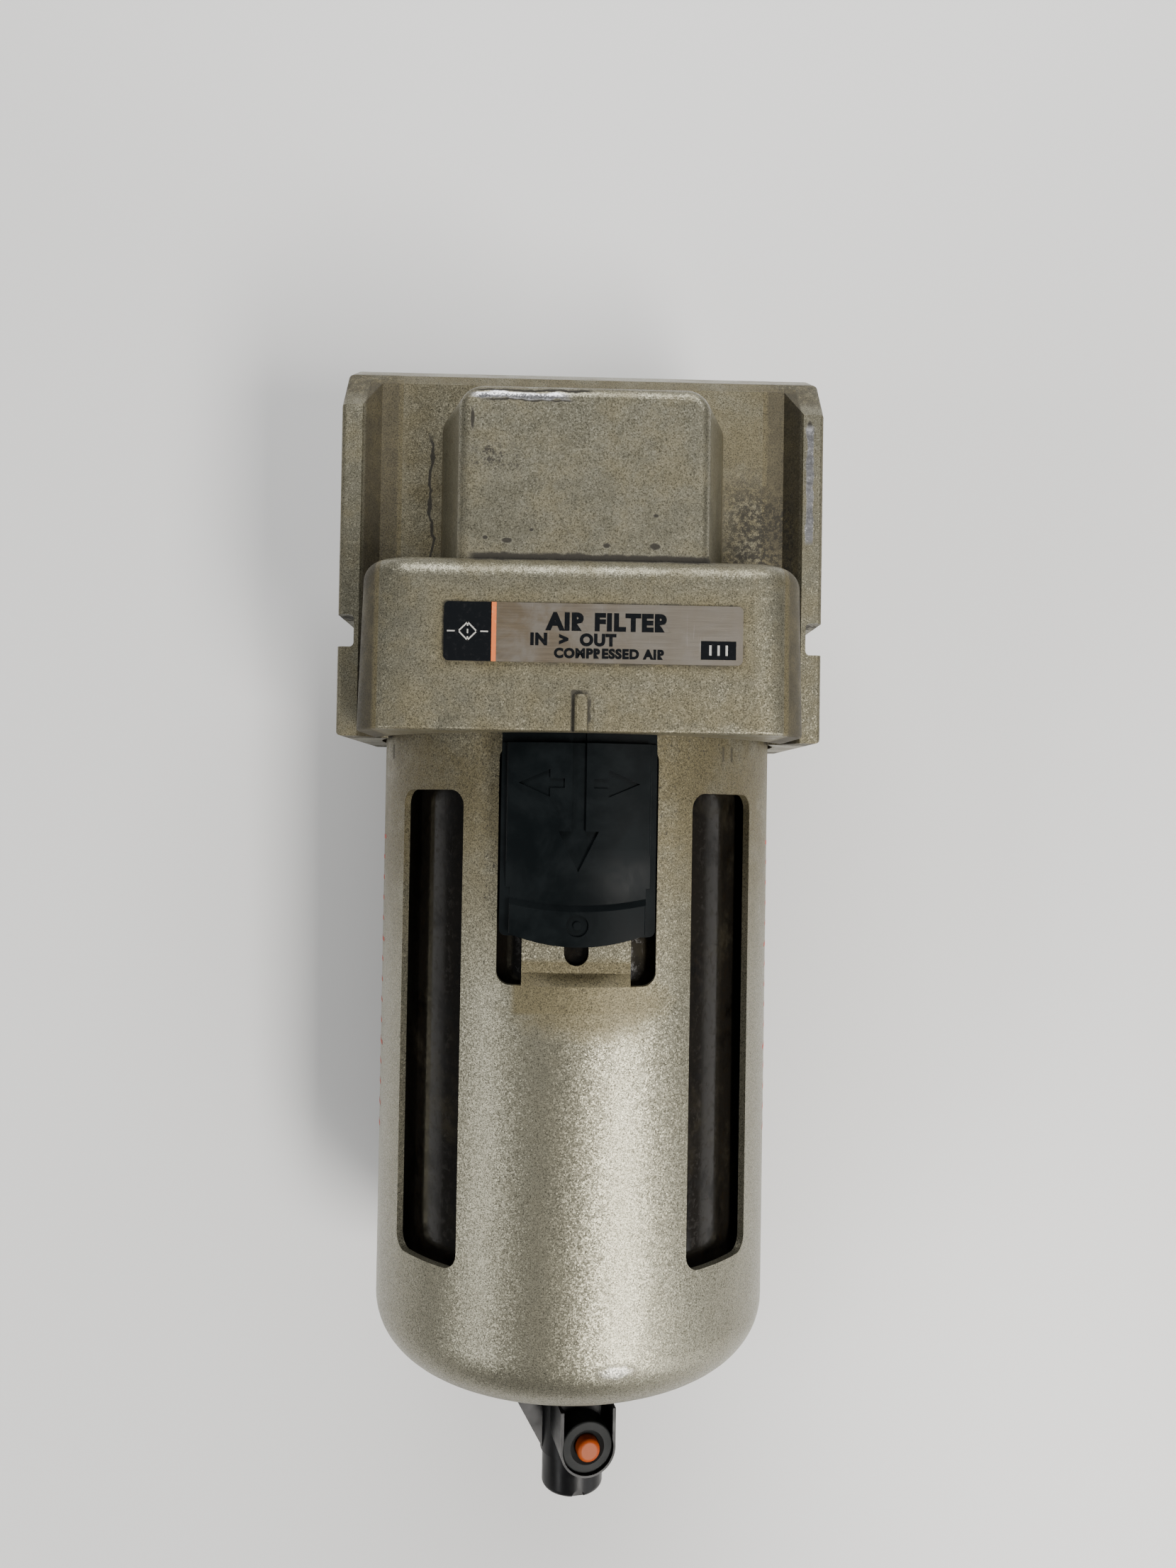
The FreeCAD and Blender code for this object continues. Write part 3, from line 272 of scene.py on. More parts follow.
# ---- where things are ---------------------------------------------------------------
# Depths say how far a surface stands out from the middle, to the front or to the back.
# guard_front and dome_front are the depths past which a mark on the guard may show.
head_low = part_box("body")[0]
guard_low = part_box("bowl_guard")[0]
plate_low, plate_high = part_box("name_plate")
skirt_top = head_low.z + 17.25 * MM
block_top = head_low.z + 34.7 * MM
skirt_depth = 25.8 * MM
recess_depth = 10.3 * MM
guard_r = 22.6 * MM
guard_front = 15.0 * MM
dome_front = 8.0 * MM
pointer_foot = -25.0 * MM
lock_window = -41.0 * MM
tongue_height = -54.6 * MM
scuff = (4.7 * MM, -93.1 * MM)
print_depth = 0.02 * MM


# ---- paint --------------------------------------------------------------------------
def champagne_paint(
    name, stains_and_shade=None, marks=None, bare=None, tone=1.0, speck=0.35, mottling=0.30
):
    """Metallic paint with flakes, dull yellow patches, grime and painted shade in the corners,
    and dark specks.

    The three functions after the name give masks from 0 to 1: brown staining, near-black dirt and
    rubbed metal; the first two carry some painted shade as well. tone is how light the paint is,
    speck how large the dark specks are and mottling how strong the cloudiness is."""
    m = Finish(name)
    flake = m.cells(0.14 * MM)
    fleck = m.noise(0.13 * MM, detail=2.0, roughness=0.6)
    mottle = m.noise(1.6 * MM, detail=4.0, roughness=0.6, shift=11.0)
    light = rgb(0.325 * tone, 0.308 * tone, 0.232 * tone)
    dark = rgb(0.066 * tone, 0.062 * tone, 0.044 * tone)
    colour = m.mix(m.ramp(fleck, 0.26, 0.62), dark, light)
    cloudy = m.ramp(mottle, 0.38, 0.66, 0.0, mottling)
    colour = m.mix(cloudy, colour, rgb(0.60, 0.58, 0.50), blend="MULTIPLY")

    patches = m.ramp(m.noise(5.0 * MM, detail=7.0, roughness=0.70), 0.42, 0.62)
    stain_and_shade = m.times(patches, 1.8 * mottling)
    if stains_and_shade:
        stain_and_shade = m.most(stain_and_shade, stains_and_shade(m))
    brown = rgb(0.60, 0.54, 0.40)
    colour = m.mix(stain_and_shade, colour, brown, blend="MULTIPLY")

    # Painted shade: darker deep in corners and gaps, wherever the occlusion node finds them,
    # broken into smeared patches like grime.
    corners = m.ramp(m.crevice(2.8 * MM), 0.30, 0.72)
    smear = m.ramp(m.noise(1.0 * MM, detail=5.0, roughness=0.72, warp=0.4), 0.36, 0.56)
    grime_and_shade = m.times(corners, smear, 0.9)
    if marks:
        grime_and_shade = m.most(grime_and_shade, marks(m))
    spots = m.cells(1.7 * MM, shift=3.0)
    spot_size = m.ramp(m.noise(8.0 * MM, detail=2.0, shift=5.0), 0.42, 0.72, 0.0, 0.11)
    ragged = m.math("ADD", spots.outputs["Distance"], m.times(m.noise(0.22 * MM), 0.07))
    specks = m.math("LESS_THAN", ragged, m.math("ADD", spot_size, speck * 0.11))
    grime_and_shade = m.most(grime_and_shade, m.times(specks, 0.8))
    # One near-black colour for dirt, specks and painted shade alike.
    soot_and_shade_colour = rgb(0.020, 0.017, 0.011)
    colour = m.mix(grime_and_shade, colour, soot_and_shade_colour)

    metallic = m.grade(grime_and_shade, m.grade(stain_and_shade, 0.88, 0.55), 0.0)
    roughness = m.grade(stain_and_shade, m.ramp(fleck, 0.3, 0.7, 0.44, 0.36), 0.55)
    roughness = m.grade(grime_and_shade, roughness, 0.85)
    if bare:
        worn = bare(m)
        streaks = m.noise(0.35 * MM, detail=3.0, place=m.scaled((0.12, 1.0, 1.0)), shift=2.0)
        metal = m.mix(streaks, rgb(0.16, 0.16, 0.18), rgb(0.78, 0.78, 0.80))
        colour = m.mix(worn, colour, metal)
        metallic = m.grade(worn, metallic, 1.0)
        roughness = m.grade(worn, roughness, 0.28)

    relief = m.bump(m.noise(0.28 * MM, detail=3.0, roughness=0.6, shift=1.0), 0.012 * MM)
    normal = m.flakes(flake.outputs["Color"], 0.22, relief)
    return m.done(
        Base_Color=colour,
        Metallic=metallic,
        Roughness=roughness,
        Normal=normal,
        Coat_Weight=0.05,
        Coat_Roughness=0.3,
    )


def label_surround(m, reach):
    """1 on the skirt beside the label, falling to 0 at reach from it."""
    centre = (plate_low + plate_high) / 2
    half = (plate_high - plate_low) / 2
    to_side = m.less(m.unsigned(m.less(m.x, centre.x)), half.x)
    to_end = m.less(m.unsigned(m.less(m.z, centre.z)), half.z)
    return m.times(m.ramp(m.most(to_side, to_end), reach, 0.0), m.front(skirt_depth))


def head_stains_and_shade(m):
    """Brown film round the label, on the low skirt, recesses and end faces, and painted shade on
    the rib slopes.
    """
    label_noise = m.noise(3.0 * MM, detail=4.0, shift=8.0)
    round_label = m.times(label_surround(m, 3.2 * MM), label_noise, 1.5)
    low_skirt = m.times(m.ramp(m.z, skirt_top - 9.0 * MM, skirt_top - 15.0 * MM), 0.75)
    skirt_noise = m.ramp(m.noise(4.0 * MM, detail=4.0, shift=12.0), 0.30, 0.60)
    low_skirt = m.times(low_skirt, skirt_noise)
    deep = m.near(m.unsigned(m.y), recess_depth, 0.8 * MM, 1.5 * MM)
    recess_noise = m.noise(3.5 * MM, detail=5.0, shift=13.0)
    recess = m.times(deep, m.ramp(recess_noise, 0.30, 0.62, 0.35, 0.85))
    end_face = m.times(m.ramp(m.unsigned(m.x), 25.9 * MM, 26.4 * MM), 0.5)
    # Painted shade: the inner slopes of the end ribs made darker, as they face the dark recesses.
    rib_slope_shade = m.near(m.unsigned(m.x), 22.0 * MM, 1.6 * MM, 0.5 * MM)
    rib_slope_shade = m.times(rib_slope_shade, m.front(9.8 * MM), 1.7)
    return m.most(round_label, low_skirt, recess, end_face, rib_slope_shade)


def head_dirt_and_shade(m):
    """Near-black dirt and painted shade over the whole head, each place with its own shape and
    its own grain.
    """
    return m.most(
        crease_shade_and_dirt(m),
        recess_dirt(m),
        block_dirt(m),
        wavy_line(m),
        label_edge_dirt(m),
        rib_chips(m),
        pointer_dirt(m),
        slope_shade(m),
    )


def crease_shade_and_dirt(m):
    """A ragged dark line of painted shade and dirt where the block meets the top of the skirt."""
    across = m.pushed(m.z, m.noise(1.6 * MM, detail=5.0, roughness=0.7, shift=7.0), 1.0 * MM)
    on_front = m.near(m.unsigned(m.y), 25.0 * MM, 2.0 * MM, 0.6 * MM)
    in_block = m.near(m.x, 0.8 * MM, 11.5 * MM, 1.5 * MM)
    line = m.near(across, skirt_top + 0.20 * MM, 0.24 * MM, 0.45 * MM)
    return m.times(line, on_front, in_block)


def recess_floor(m):
    """1 on the floors of the recesses between block and ribs, front and back."""
    return m.near(m.unsigned(m.y), recess_depth, 1.2 * MM, 1.5 * MM)


def recess_dirt(m):
    """Dirt caked in the recesses: low down, beside the ribs and on the outlet's side."""
    caked = m.ramp(m.noise(0.6 * MM, detail=7.0, roughness=0.85, shift=14.0), 0.43, 0.53)
    low = m.ramp(m.z, skirt_top + 5.0 * MM, skirt_top + 0.5 * MM)
    rib_side = m.times(m.ramp(m.unsigned(m.x), 19.0 * MM, 22.5 * MM), 0.6)
    outlet_side = m.times(
        m.ramp(m.x, 13.5 * MM, 18.0 * MM),
        m.ramp(m.z, skirt_top + 17.0 * MM, skirt_top + 8.0 * MM),
    )
    return m.times(recess_floor(m), m.most(low, rib_side, outlet_side), caked, 0.97)


def block_dirt(m):
    """On the front block: pits, a peppered patch, a nick and two lines along its top edge."""
    pits = m.blot((-7.6 * MM, skirt_top + 1.85 * MM), (0.55 * MM, 0.28 * MM), shift=1.0)
    # x, height over the skirt and half width, in mm
    small_pits = (
        (2.3, 1.5, 0.40),
        (7.2, 1.5, 0.55),
        (7.2, 4.6, 0.30),
        (-5.2, 2.95, 0.25),
        (-9.8, 2.1, 0.30),
    )
    for x, z, size in small_pits:
        spot = m.blot((x * MM, skirt_top + z * MM), (size * MM, 0.7 * size * MM), 0.6, shift=x)
        pits = m.most(pits, spot)
    peppered = m.ramp(m.noise(0.45 * MM, detail=4.0, roughness=0.75, shift=15.0), 0.49, 0.56)
    patch = m.blot((-8.8 * MM, skirt_top + 10.2 * MM), (3.4 * MM, 1.6 * MM), 0.8, 0.5, 2.0 * MM)
    patch = m.times(patch, peppered, 0.95)
    nick = m.blot((-11.25 * MM, skirt_top + 14.0 * MM), (0.20 * MM, 1.1 * MM), 0.5, 0.3, 0.5 * MM)
    edge_z = m.pushed(m.z, m.noise(1.4 * MM, detail=4.0, shift=18.0), 0.7 * MM)
    top_line = m.times(
        m.near(m.x, -5.2 * MM, 5.2 * MM, 1.2 * MM),
        m.near(edge_z, block_top - 0.45 * MM, 0.06 * MM, 0.14 * MM),
    )
    under_line = m.times(
        m.near(m.x, -5.6 * MM, 3.8 * MM, 1.2 * MM),
        m.near(edge_z, block_top - 1.50 * MM, 0.05 * MM, 0.14 * MM),
    )
    return m.times(m.most(pits, patch, nick, top_line, under_line), m.front(24.0 * MM))


def wavy_line(m):
    """A thin wandering line down the front recess on the inlet's side."""
    line_x = m.pushed(m.x, m.noise(3.0 * MM, detail=3.0, shift=16.0), 2.6 * MM)
    line = m.near(line_x, -16.9 * MM, 0.09 * MM, 0.16 * MM)
    height = m.near(m.z, skirt_top + 8.0 * MM, 7.5 * MM, 2.0 * MM)
    return m.times(line, 0.95, recess_floor(m), height, m.front(9.5 * MM))


def label_edge_dirt(m):
    """Broken dark outline round the label."""
    broken = m.ramp(m.noise(2.2 * MM, shift=17.0), 0.42, 0.62)
    return m.times(label_surround(m, 0.45 * MM), broken, 0.8)


def rib_chips(m):
    """A chip on the front of the outlet's rib."""
    chips = m.blot((24.9 * MM, skirt_top + 17.6 * MM), (0.3 * MM, 0.7 * MM), 0.6, 0.3, 0.5 * MM)
    return m.times(chips, m.front(12.5 * MM))


def pointer_dirt(m):
    """Dirt along the foot of the skirt's raised pointer line: its two sides and its top."""
    aside = m.near(m.unsigned(m.x), 0.80 * MM, 0.12 * MM, 0.16 * MM)
    over = m.times(
        m.near(m.z, pointer_foot, 0.14 * MM, 0.18 * MM),
        m.near(m.x, 0.0, 0.9 * MM, 0.3 * MM),
        m.front(skirt_depth),
    )
    low_front = m.times(m.ramp(m.z, -24.6 * MM, -25.2 * MM), m.front(skirt_depth))
    grimed = m.ramp(m.noise(1.4 * MM, detail=3.0, shift=9.0), 0.28, 0.50)
    return m.times(m.most(m.times(aside, low_front), over), grimed, 0.9)


def slope_shade(m):
    """Cloudy painted shade down the inner slopes of the end ribs, which face the dark recesses.
    """
    slope = m.near(m.unsigned(m.x), 22.3 * MM, 1.5 * MM, 0.4 * MM)
    slope = m.times(slope, m.front(10.2 * MM))
    cloudy = m.ramp(m.noise(2.5 * MM, detail=5.0, shift=19.0), 0.25, 0.60, 0.40, 0.75)
    return m.times(slope, cloudy)


def head_bare(m):
    """Rubbed metal on the front block's top edge, and a scrape down the outlet's rib."""
    wobble = m.noise(2.2 * MM, detail=4.0, shift=4.0)
    height = m.pushed(m.z, wobble, 1.3 * MM)
    along = m.near(m.x, -6.6 * MM, 3.6 * MM, 1.8 * MM)
    edge = m.near(height, block_top - 1.05 * MM, 0.18 * MM, 0.30 * MM)
    rub = m.times(along, edge, m.front(22.6 * MM))

    side = m.pushed(m.x, wobble, 0.9 * MM)
    rib_x = m.near(side, 24.95 * MM, 0.28 * MM, 0.20 * MM)
    rib_z = m.near(m.z, skirt_top + 11.2 * MM, 5.8 * MM, 1.0 * MM)
    return m.most(rub, m.times(rib_x, rib_z, m.front(12.6 * MM), 0.85))


def guard_stains(m):
    """Brown film: under the skirt, below the lock window and over the tongue."""
    top = m.ramp(m.z, -60.0 * MM, -36.0 * MM)
    uneven = m.noise(5.0 * MM, detail=5.0, roughness=0.68, shift=6.0)
    blotch = m.ramp(uneven, 0.26, 0.56, 0.35, 1.0)
    below = m.blot((1.5 * MM, -55.5 * MM), (7.5 * MM, 4.2 * MM), 0.5, 0.35, 2.5 * MM)
    below = m.times(below, m.front(18.0 * MM), 0.9)
    tongue = m.times(
        m.near(m.x, 0.0, 6.0 * MM, 1.0 * MM),
        m.near(m.z, tongue_height, 2.4 * MM, 0.8 * MM),
        m.front(guard_front),
    )
    return m.most(m.times(top, blotch), below, tongue)


def guard_dirt_and_shade(m):
    """Soot by the lock window and under the skirt, small ticks, a scuff, and painted shade on the
    dark underside.
    """
    window = m.near(m.unsigned(m.x), 8.6 * MM, 0.5 * MM, 2.4 * MM)
    window_height = m.near(m.z, lock_window, 11.5 * MM, 2.0 * MM)
    window = m.times(window, window_height, m.front(guard_front))
    top = m.ramp(m.z, -38.0 * MM, -29.5 * MM)
    peppered = m.ramp(m.noise(0.40 * MM, detail=5.0, roughness=0.8, shift=6.0), 0.56, 0.62)
    soot_and_shade = m.times(m.most(window, top), peppered, 0.9)
    ticks = m.near(m.z, -30.4 * MM, 0.7 * MM, 0.2 * MM)
    tick_x = m.most(
        m.near(m.x, 15.35 * MM, 0.10 * MM, 0.08 * MM),
        m.near(m.x, 16.4 * MM, 0.10 * MM, 0.08 * MM),
        m.near(m.x, -20.6 * MM, 0.08 * MM, 0.08 * MM),
    )
    ticks = m.times(ticks, tick_x, m.front(dome_front), 0.7)
    outer = m.blot((4.6 * MM, -93.2 * MM), (2.2 * MM, 1.0 * MM), 0.5, 0.25, 1.0 * MM)
    inner = m.blot(scuff, (1.7 * MM, 0.7 * MM), 0.5, 0.25, 1.0 * MM)
    scuff_ring = m.times(m.less(outer, inner), m.front(dome_front), 0.30)
    # Painted shade: the dome darker towards its lowest point.
    under = m.ramp(m.z, guard_low.z + 2.4 * MM, guard_low.z + 0.4 * MM, 0.0, 0.42)
    return m.most(soot_and_shade, ticks, scuff_ring, under)


def guard_bare(m):
    """Thin paint in the middle of the scuff on the dome."""
    core = m.blot(scuff, (1.6 * MM, 0.6 * MM), 0.7, 0.3, 0.8 * MM)
    return m.times(core, m.front(dome_front), 0.25)


# ---- plastics, rubber, metal --------------------------------------------------------
def black_plastic(name, base, rough=0.28, dust=0.5, shine=0.20):
    """Moulded plastic with a fine spark-eroded skin, dull smears and specks of dust."""
    m = Finish(name)
    smear = m.ramp(m.noise(4.5 * MM, detail=5.0, roughness=0.65, warp=0.5), 0.38, 0.70)
    fine = m.noise(0.16 * MM, detail=2.0)
    worn = rgb(*(c * 1.7 + 0.002 for c in base))
    colour = m.mix(m.times(smear, 0.7), rgb(*base), worn)
    specks = m.cells(2.3 * MM, shift=2.0)
    speck = m.times(m.math("LESS_THAN", specks.outputs["Distance"], 0.035), dust)
    dusty = m.ramp(m.noise(0.8 * MM, detail=4.0, roughness=0.7), 0.45, 0.7)
    in_corners = m.times(m.ramp(m.crevice(0.9 * MM), 0.5, 1.0), dusty)
    colour = m.mix(m.times(in_corners, 0.35 * dust), colour, rgb(0.050, 0.044, 0.032))
    colour = m.mix(speck, colour, rgb(0.22, 0.21, 0.18))
    roughness = m.grade(smear, rough, rough + 0.14)
    return m.done(
        Base_Color=colour,
        Roughness=roughness,
        Normal=m.bump(fine, 0.004 * MM),
        Specular_IOR_Level=shine,
    )


def orange_plastic():
    """Drain button: orange, faded on its tip, with painted shade round the root."""
    m = Finish("drain_orange")
    low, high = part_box("drain_button")
    tip = Vector((high.x - 1.3 * MM, low.y, middle("drain_button").z))
    away = m.new("ShaderNodeVectorMath", operation="DISTANCE")
    m.feed(away.inputs[0], m.place)
    m.feed(away.inputs[1], tip)
    distance = away.outputs["Value"]
    faded = m.ramp(distance, 1.15 * MM, 0.8 * MM)
    blotch = m.noise(0.5 * MM, detail=4.0)
    colour = m.mix(faded, rgb(0.33, 0.050, 0.003), rgb(0.31, 0.066, 0.013))
    colour = m.mix(m.ramp(blotch, 0.55, 0.8, 0.0, 0.35), colour, rgb(0.40, 0.09, 0.02))
    # Painted shade where the button goes down into the collar.
    soot_and_shade = m.ramp(distance, 1.6 * MM, 2.4 * MM, 0.0, 0.85)
    colour = m.mix(soot_and_shade, colour, rgb(0.05, 0.018, 0.008))
    return m.done(
        Base_Color=colour,
        Roughness=0.45,
        Specular_IOR_Level=0.18,
        Normal=m.bump(blotch, 0.01 * MM),
    )


def smoked_bowl():
    """Clear plastic gone brown, with baked-on oil stains inside."""
    m = Finish("smoked_bowl")
    stain = m.ramp(m.noise(5.0 * MM, detail=7.0, roughness=0.72, warp=0.3), 0.46, 0.62)
    drops = m.ramp(m.noise(0.8 * MM, detail=5.0, roughness=0.75, shift=3.0), 0.52, 0.62)
    haze = m.ramp(m.noise(11.0 * MM, detail=5.0, roughness=0.7, shift=8.0), 0.50, 0.66)
    colour = m.mix(stain, rgb(0.011, 0.0095, 0.0075), rgb(0.0028, 0.0024, 0.002))
    colour = m.mix(m.times(haze, 0.6), colour, rgb(0.040, 0.034, 0.022))
    colour = m.mix(m.times(drops, 0.5), colour, rgb(0.013, 0.0085, 0.004))
    clear = m.grade(m.most(stain, haze), 0.25, 0.05)
    roughness = m.grade(m.most(stain, drops), 0.12, 0.26)
    return m.done(
        Base_Color=colour,
        Transmission_Weight=clear,
        Roughness=roughness,
        IOR=1.50,
        Specular_IOR_Level=0.20,
        Normal=m.bump(drops, 0.003 * MM),
    )


def filter_media():
    """Bonded fibres: a felted tangle, darker where oil has soaked in."""
    m = Finish("filter_media")
    fibres = m.noise(0.5 * MM, detail=6.0, roughness=0.8, warp=2.0)
    soaked = m.ramp(m.noise(8.0 * MM, detail=4.0), 0.35, 0.7)
    colour = m.mix(m.ramp(fibres, 0.3, 0.7), rgb(0.20, 0.16, 0.10), rgb(0.50, 0.43, 0.31))
    colour = m.mix(m.times(soaked, 0.7), colour, rgb(0.09, 0.065, 0.04))
    return m.done(Base_Color=colour, Roughness=0.9, Normal=m.bump(fibres, 0.25 * MM))


def rubber():
    """Black rubber with a faint grey bloom."""
    m = Finish("rubber_seal")
    bloom = m.ramp(m.noise(1.2 * MM, detail=4.0), 0.4, 0.7)
    colour = m.mix(bloom, rgb(0.012, 0.012, 0.012), rgb(0.035, 0.034, 0.033))
    return m.done(Base_Color=colour, Roughness=0.62, Normal=m.bump(m.noise(0.2 * MM), 0.01 * MM))


def spring_wire():
    """Drawn steel wire."""
    m = Finish("spring_steel")
    drawn = m.noise(0.12 * MM, detail=3.0, place=m.scaled((1.0, 1.0, 0.2)))
    colour = m.mix(drawn, rgb(0.36, 0.35, 0.34), rgb(0.60, 0.60, 0.60))
    roughness = m.ramp(drawn, 0.2, 0.8, 0.22, 0.40)
    return m.done(Base_Color=colour, Metallic=1.0, Roughness=roughness)


def label_foil():
    """Brushed foil: hair lines along X, dull brown blotches that grow into painted shade towards
    the left, and a few deeper scratches.
    """
    m = Finish("label_foil")
    hair = m.noise(0.10 * MM, detail=3.0, place=m.scaled((0.02, 1.0, 1.0)))
    blotch = m.noise(2.8 * MM, detail=5.0, roughness=0.6, warp=0.6)
    cross = m.noise(0.22 * MM, detail=2.0, place=m.scaled((1.0, 1.0, 0.05)), shift=4.0)
    colour = m.mix(hair, rgb(0.17, 0.155, 0.130), rgb(0.34, 0.308, 0.266))
    # Painted shade and highlight: the blotches strongest on the left and faint on the right,
    # where the foil shows lighter.
    leftward_shade = m.ramp(m.x, 8.0 * MM, -8.0 * MM, 0.25, 0.90)
    tarnish_and_shade = m.times(m.ramp(blotch, 0.35, 0.62), leftward_shade)
    colour = m.mix(tarnish_and_shade, colour, rgb(0.190, 0.150, 0.100))
    colour = m.mix(m.ramp(cross, 0.66, 0.74, 0.0, 0.35), colour, rgb(0.50, 0.48, 0.46))
    return m.done(
        Base_Color=colour,
        Metallic=0.80,
        Roughness=m.ramp(hair, 0.25, 0.75, 0.46, 0.32),
        Normal=m.bump(hair, 0.003 * MM),
    )


def ink(name, base, faded=None, rough=0.42):
    """Printed ink, a little uneven, showing what is under it where it is rubbed."""
    m = Finish(name)
    rubbed = m.ramp(m.noise(0.45 * MM, detail=5.0, roughness=0.7), 0.52, 0.78)
    paler = faded or tuple(c * 1.8 + 0.015 for c in base)
    colour = m.mix(m.times(rubbed, 0.55), rgb(*base), rgb(*paler))
    roughness = m.grade(rubbed, rough, rough + 0.15)
    return m.done(Base_Color=colour, Roughness=roughness, Specular_IOR_Level=0.06)


def dress(node, material):
    """Gives a CAD node its finish."""
    mesh = frame["nodes"][node].data
    mesh.materials.clear()
    mesh.materials.append(material)


def dress_all():
    """Gives every CAD node its finish, apart from the two springs that coils replace."""
    head = champagne_paint("head_paint", head_stains_and_shade, head_dirt_and_shade, head_bare, tone=0.90, speck=0.5)
    dress("body", head)
    guard = champagne_paint(
        "guard_paint", guard_stains, guard_dirt_and_shade, guard_bare, tone=0.92, mottling=0.05
    )
    dress("bowl_guard", guard)
    dress("name_plate", label_foil())
    lock_black = (0.0030, 0.0042, 0.0047)
    dress("lock_button", black_plastic("lock_black", lock_black, rough=0.36, shine=0.06))
    drain_black = (0.0045, 0.0045, 0.0050)
    dress("drain_body", black_plastic("drain_black", drain_black, rough=0.30, shine=0.16))
    drain_grey = (0.011, 0.012, 0.012)
    dress("drain_collar", black_plastic("drain_grey", drain_grey, rough=0.5, shine=0.15))
    dress("drain_button", orange_plastic())
    dress("bowl", smoked_bowl())
    dress("filter_element", filter_media())
    inner = black_plastic("inner_plastic", (0.015, 0.015, 0.016), rough=0.42)
    for node in ("deflector", "baffle", "drain_nut", "drain_stem"):
        dress(node, inner)
    seal = rubber()
    for node in (
        "element_top_gasket",
        "element_bottom_gasket",
        "bowl_o_ring",
        "drain_o_ring",
        "stem_o_ring",
        "drain_seat_seal",
    ):
        dress(node, seal)


# ---- pieces -------------------------------------------------------------------------
def mesh_piece(name, points, faces, material, body, smooth=True):
    """A piece from points and faces that rides on a body and takes a slot."""
    mesh = bpy.data.meshes.new(name)
    mesh.from_pydata([tuple(p) for p in points], [], faces)
    mesh.materials.append(material)
    for polygon in mesh.polygons:
        polygon.use_smooth = smooth
    piece = bpy.data.objects.new(name, mesh)
    bpy.context.scene.collection.objects.link(piece)
    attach(piece, body)


def port_thread(name, side, material):
    """Helical thread ridge standing in from the wall of one port; side is -1 or 1."""
    pitch = 1.337 * MM
    root_r = 8.29 * MM
    crest_r = 7.50 * MM
    start = 25.4 * MM
    turns = 8.0
    steps = 64
    # place along X in pitches, and radius
    profile = ((-0.44, root_r), (-0.10, crest_r), (0.10, crest_r), (0.44, root_r))
    points = []
    faces = []
    ring = len(profile)
    total = int(turns * steps)
    for i in range(total + 1):
        angle = 2 * math.pi * i / steps
        along = start - pitch * i / steps
        fade = min(1.0, i / steps, (total - i) / steps)
        for offset, radius in profile:
            r = root_r + (radius - root_r) * fade
            x = side * (along + offset * pitch)
            points.append((x, r * math.cos(angle), r * math.sin(angle)))
        if i < total:
            a = ring * i
            for k in range(ring):
                n = (k + 1) % ring
                faces.append((a + k, a + n, a + ring + n, a + ring + k))
    faces.append((3, 2, 1, 0))
    faces.append(tuple(ring * total + k for k in range(ring)))
    mesh_piece(name, points, faces, material, "head")


def on_plate(x, z=0.0, lift=0.0):
    """Point on the label's face: x from the middle of the part, z from the label's."""
    return Vector((x, plate_low.y - lift, (plate_low.z + plate_high.z) / 2 + z))


def printed(name, outline, place, material):
    """A thin flat print on the label: outline in (x, z) round place."""
    count = len(outline)
    points = []
    for y in (place.y - print_depth, place.y):
        for x, z in outline:
            points.append((place.x + x, y, place.z + z))
    faces = [tuple(range(count)), tuple(range(2 * count - 1, count - 1, -1))]
    for i in range(count):
        j = (i + 1) % count
        faces.append((i, i + count, j + count, j))
    mesh_piece(name, points, faces, material, "head", smooth=False)


def rounded(width, height, radii=(0, 0, 0, 0)):
    """Outline of a rectangle about the origin; radii for its four corners, from low left."""
    outline = []
    corners = ((-1, -1, 180), (1, -1, 270), (1, 1, 0), (-1, 1, 90))
    for (sx, sz, first), radius in zip(corners, radii):
        if radius == 0:
            outline.append((sx * width / 2, sz * height / 2))
            continue
        cx = sx * (width / 2 - radius)
        cz = sz * (height / 2 - radius)
        for k in range(7):
            angle = math.radians(first + 15 * k)
            outline.append((cx + radius * math.cos(angle), cz + radius * math.sin(angle)))
    return outline


def label_print():
    """Generic print: end block with the air filter symbol, stripe, words and a blank tab."""
    black = ink("print_black", (0.0050, 0.0058, 0.0070), faded=(0.024, 0.024, 0.026))
    orange = ink("print_orange", (0.62, 0.16, 0.05), faded=(0.55, 0.30, 0.16))
    silver = ink("print_silver", (0.42, 0.41, 0.38), faded=(0.20, 0.20, 0.20))
    height = plate_high.z - plate_low.z
    corner = 0.5 * MM
    end_width = 4.65 * MM
    stripe_width = 0.46 * MM

    end_x = plate_low.x + end_width / 2
    end = rounded(end_width, height, (corner, 0, 0, corner))
    printed("label_end_block", end, on_plate(end_x), black)
    stripe_x = plate_low.x + end_width + stripe_width / 2
    printed("label_stripe", rounded(stripe_width, height), on_plate(stripe_x), orange)
    label_symbol(end_x, silver)
    label_words(black)
    label_tab(black, silver)


def label_symbol(end_x, silver):
    """Air filter symbol: a square on its point, a dashed upright and a lead on each side."""
    size = 1.25 * MM
    line = 0.13 * MM
    side_length = size * 1.414 * 0.5 * 1.414 + line
    for k in range(4):
        turn = math.radians(45 + 90 * k)
        x = end_x + size * 0.5 * math.cos(turn)
        z = size * 0.5 * math.sin(turn)
        bar = turned_bar(side_length, line, turn + math.pi / 2)
        printed(f"label_symbol_side_{k}", bar, on_plate(x, z, print_depth), silver)
    dash_length = 0.42 * MM
    dash_gap = 0.72 * MM
    for k in range(3):
        dash = rounded(line, dash_length)
        place = on_plate(end_x, (k - 1) * dash_gap, print_depth)
        printed(f"label_symbol_dash_{k}", dash, place, silver)
    lead_length = 0.75 * MM
    for side in (-1, 1):
        lead = rounded(lead_length, line)
        place = on_plate(end_x + side * (size + lead_length / 2), 0, print_depth)
        printed(f"label_symbol_lead_{side + 1}", lead, place, silver)


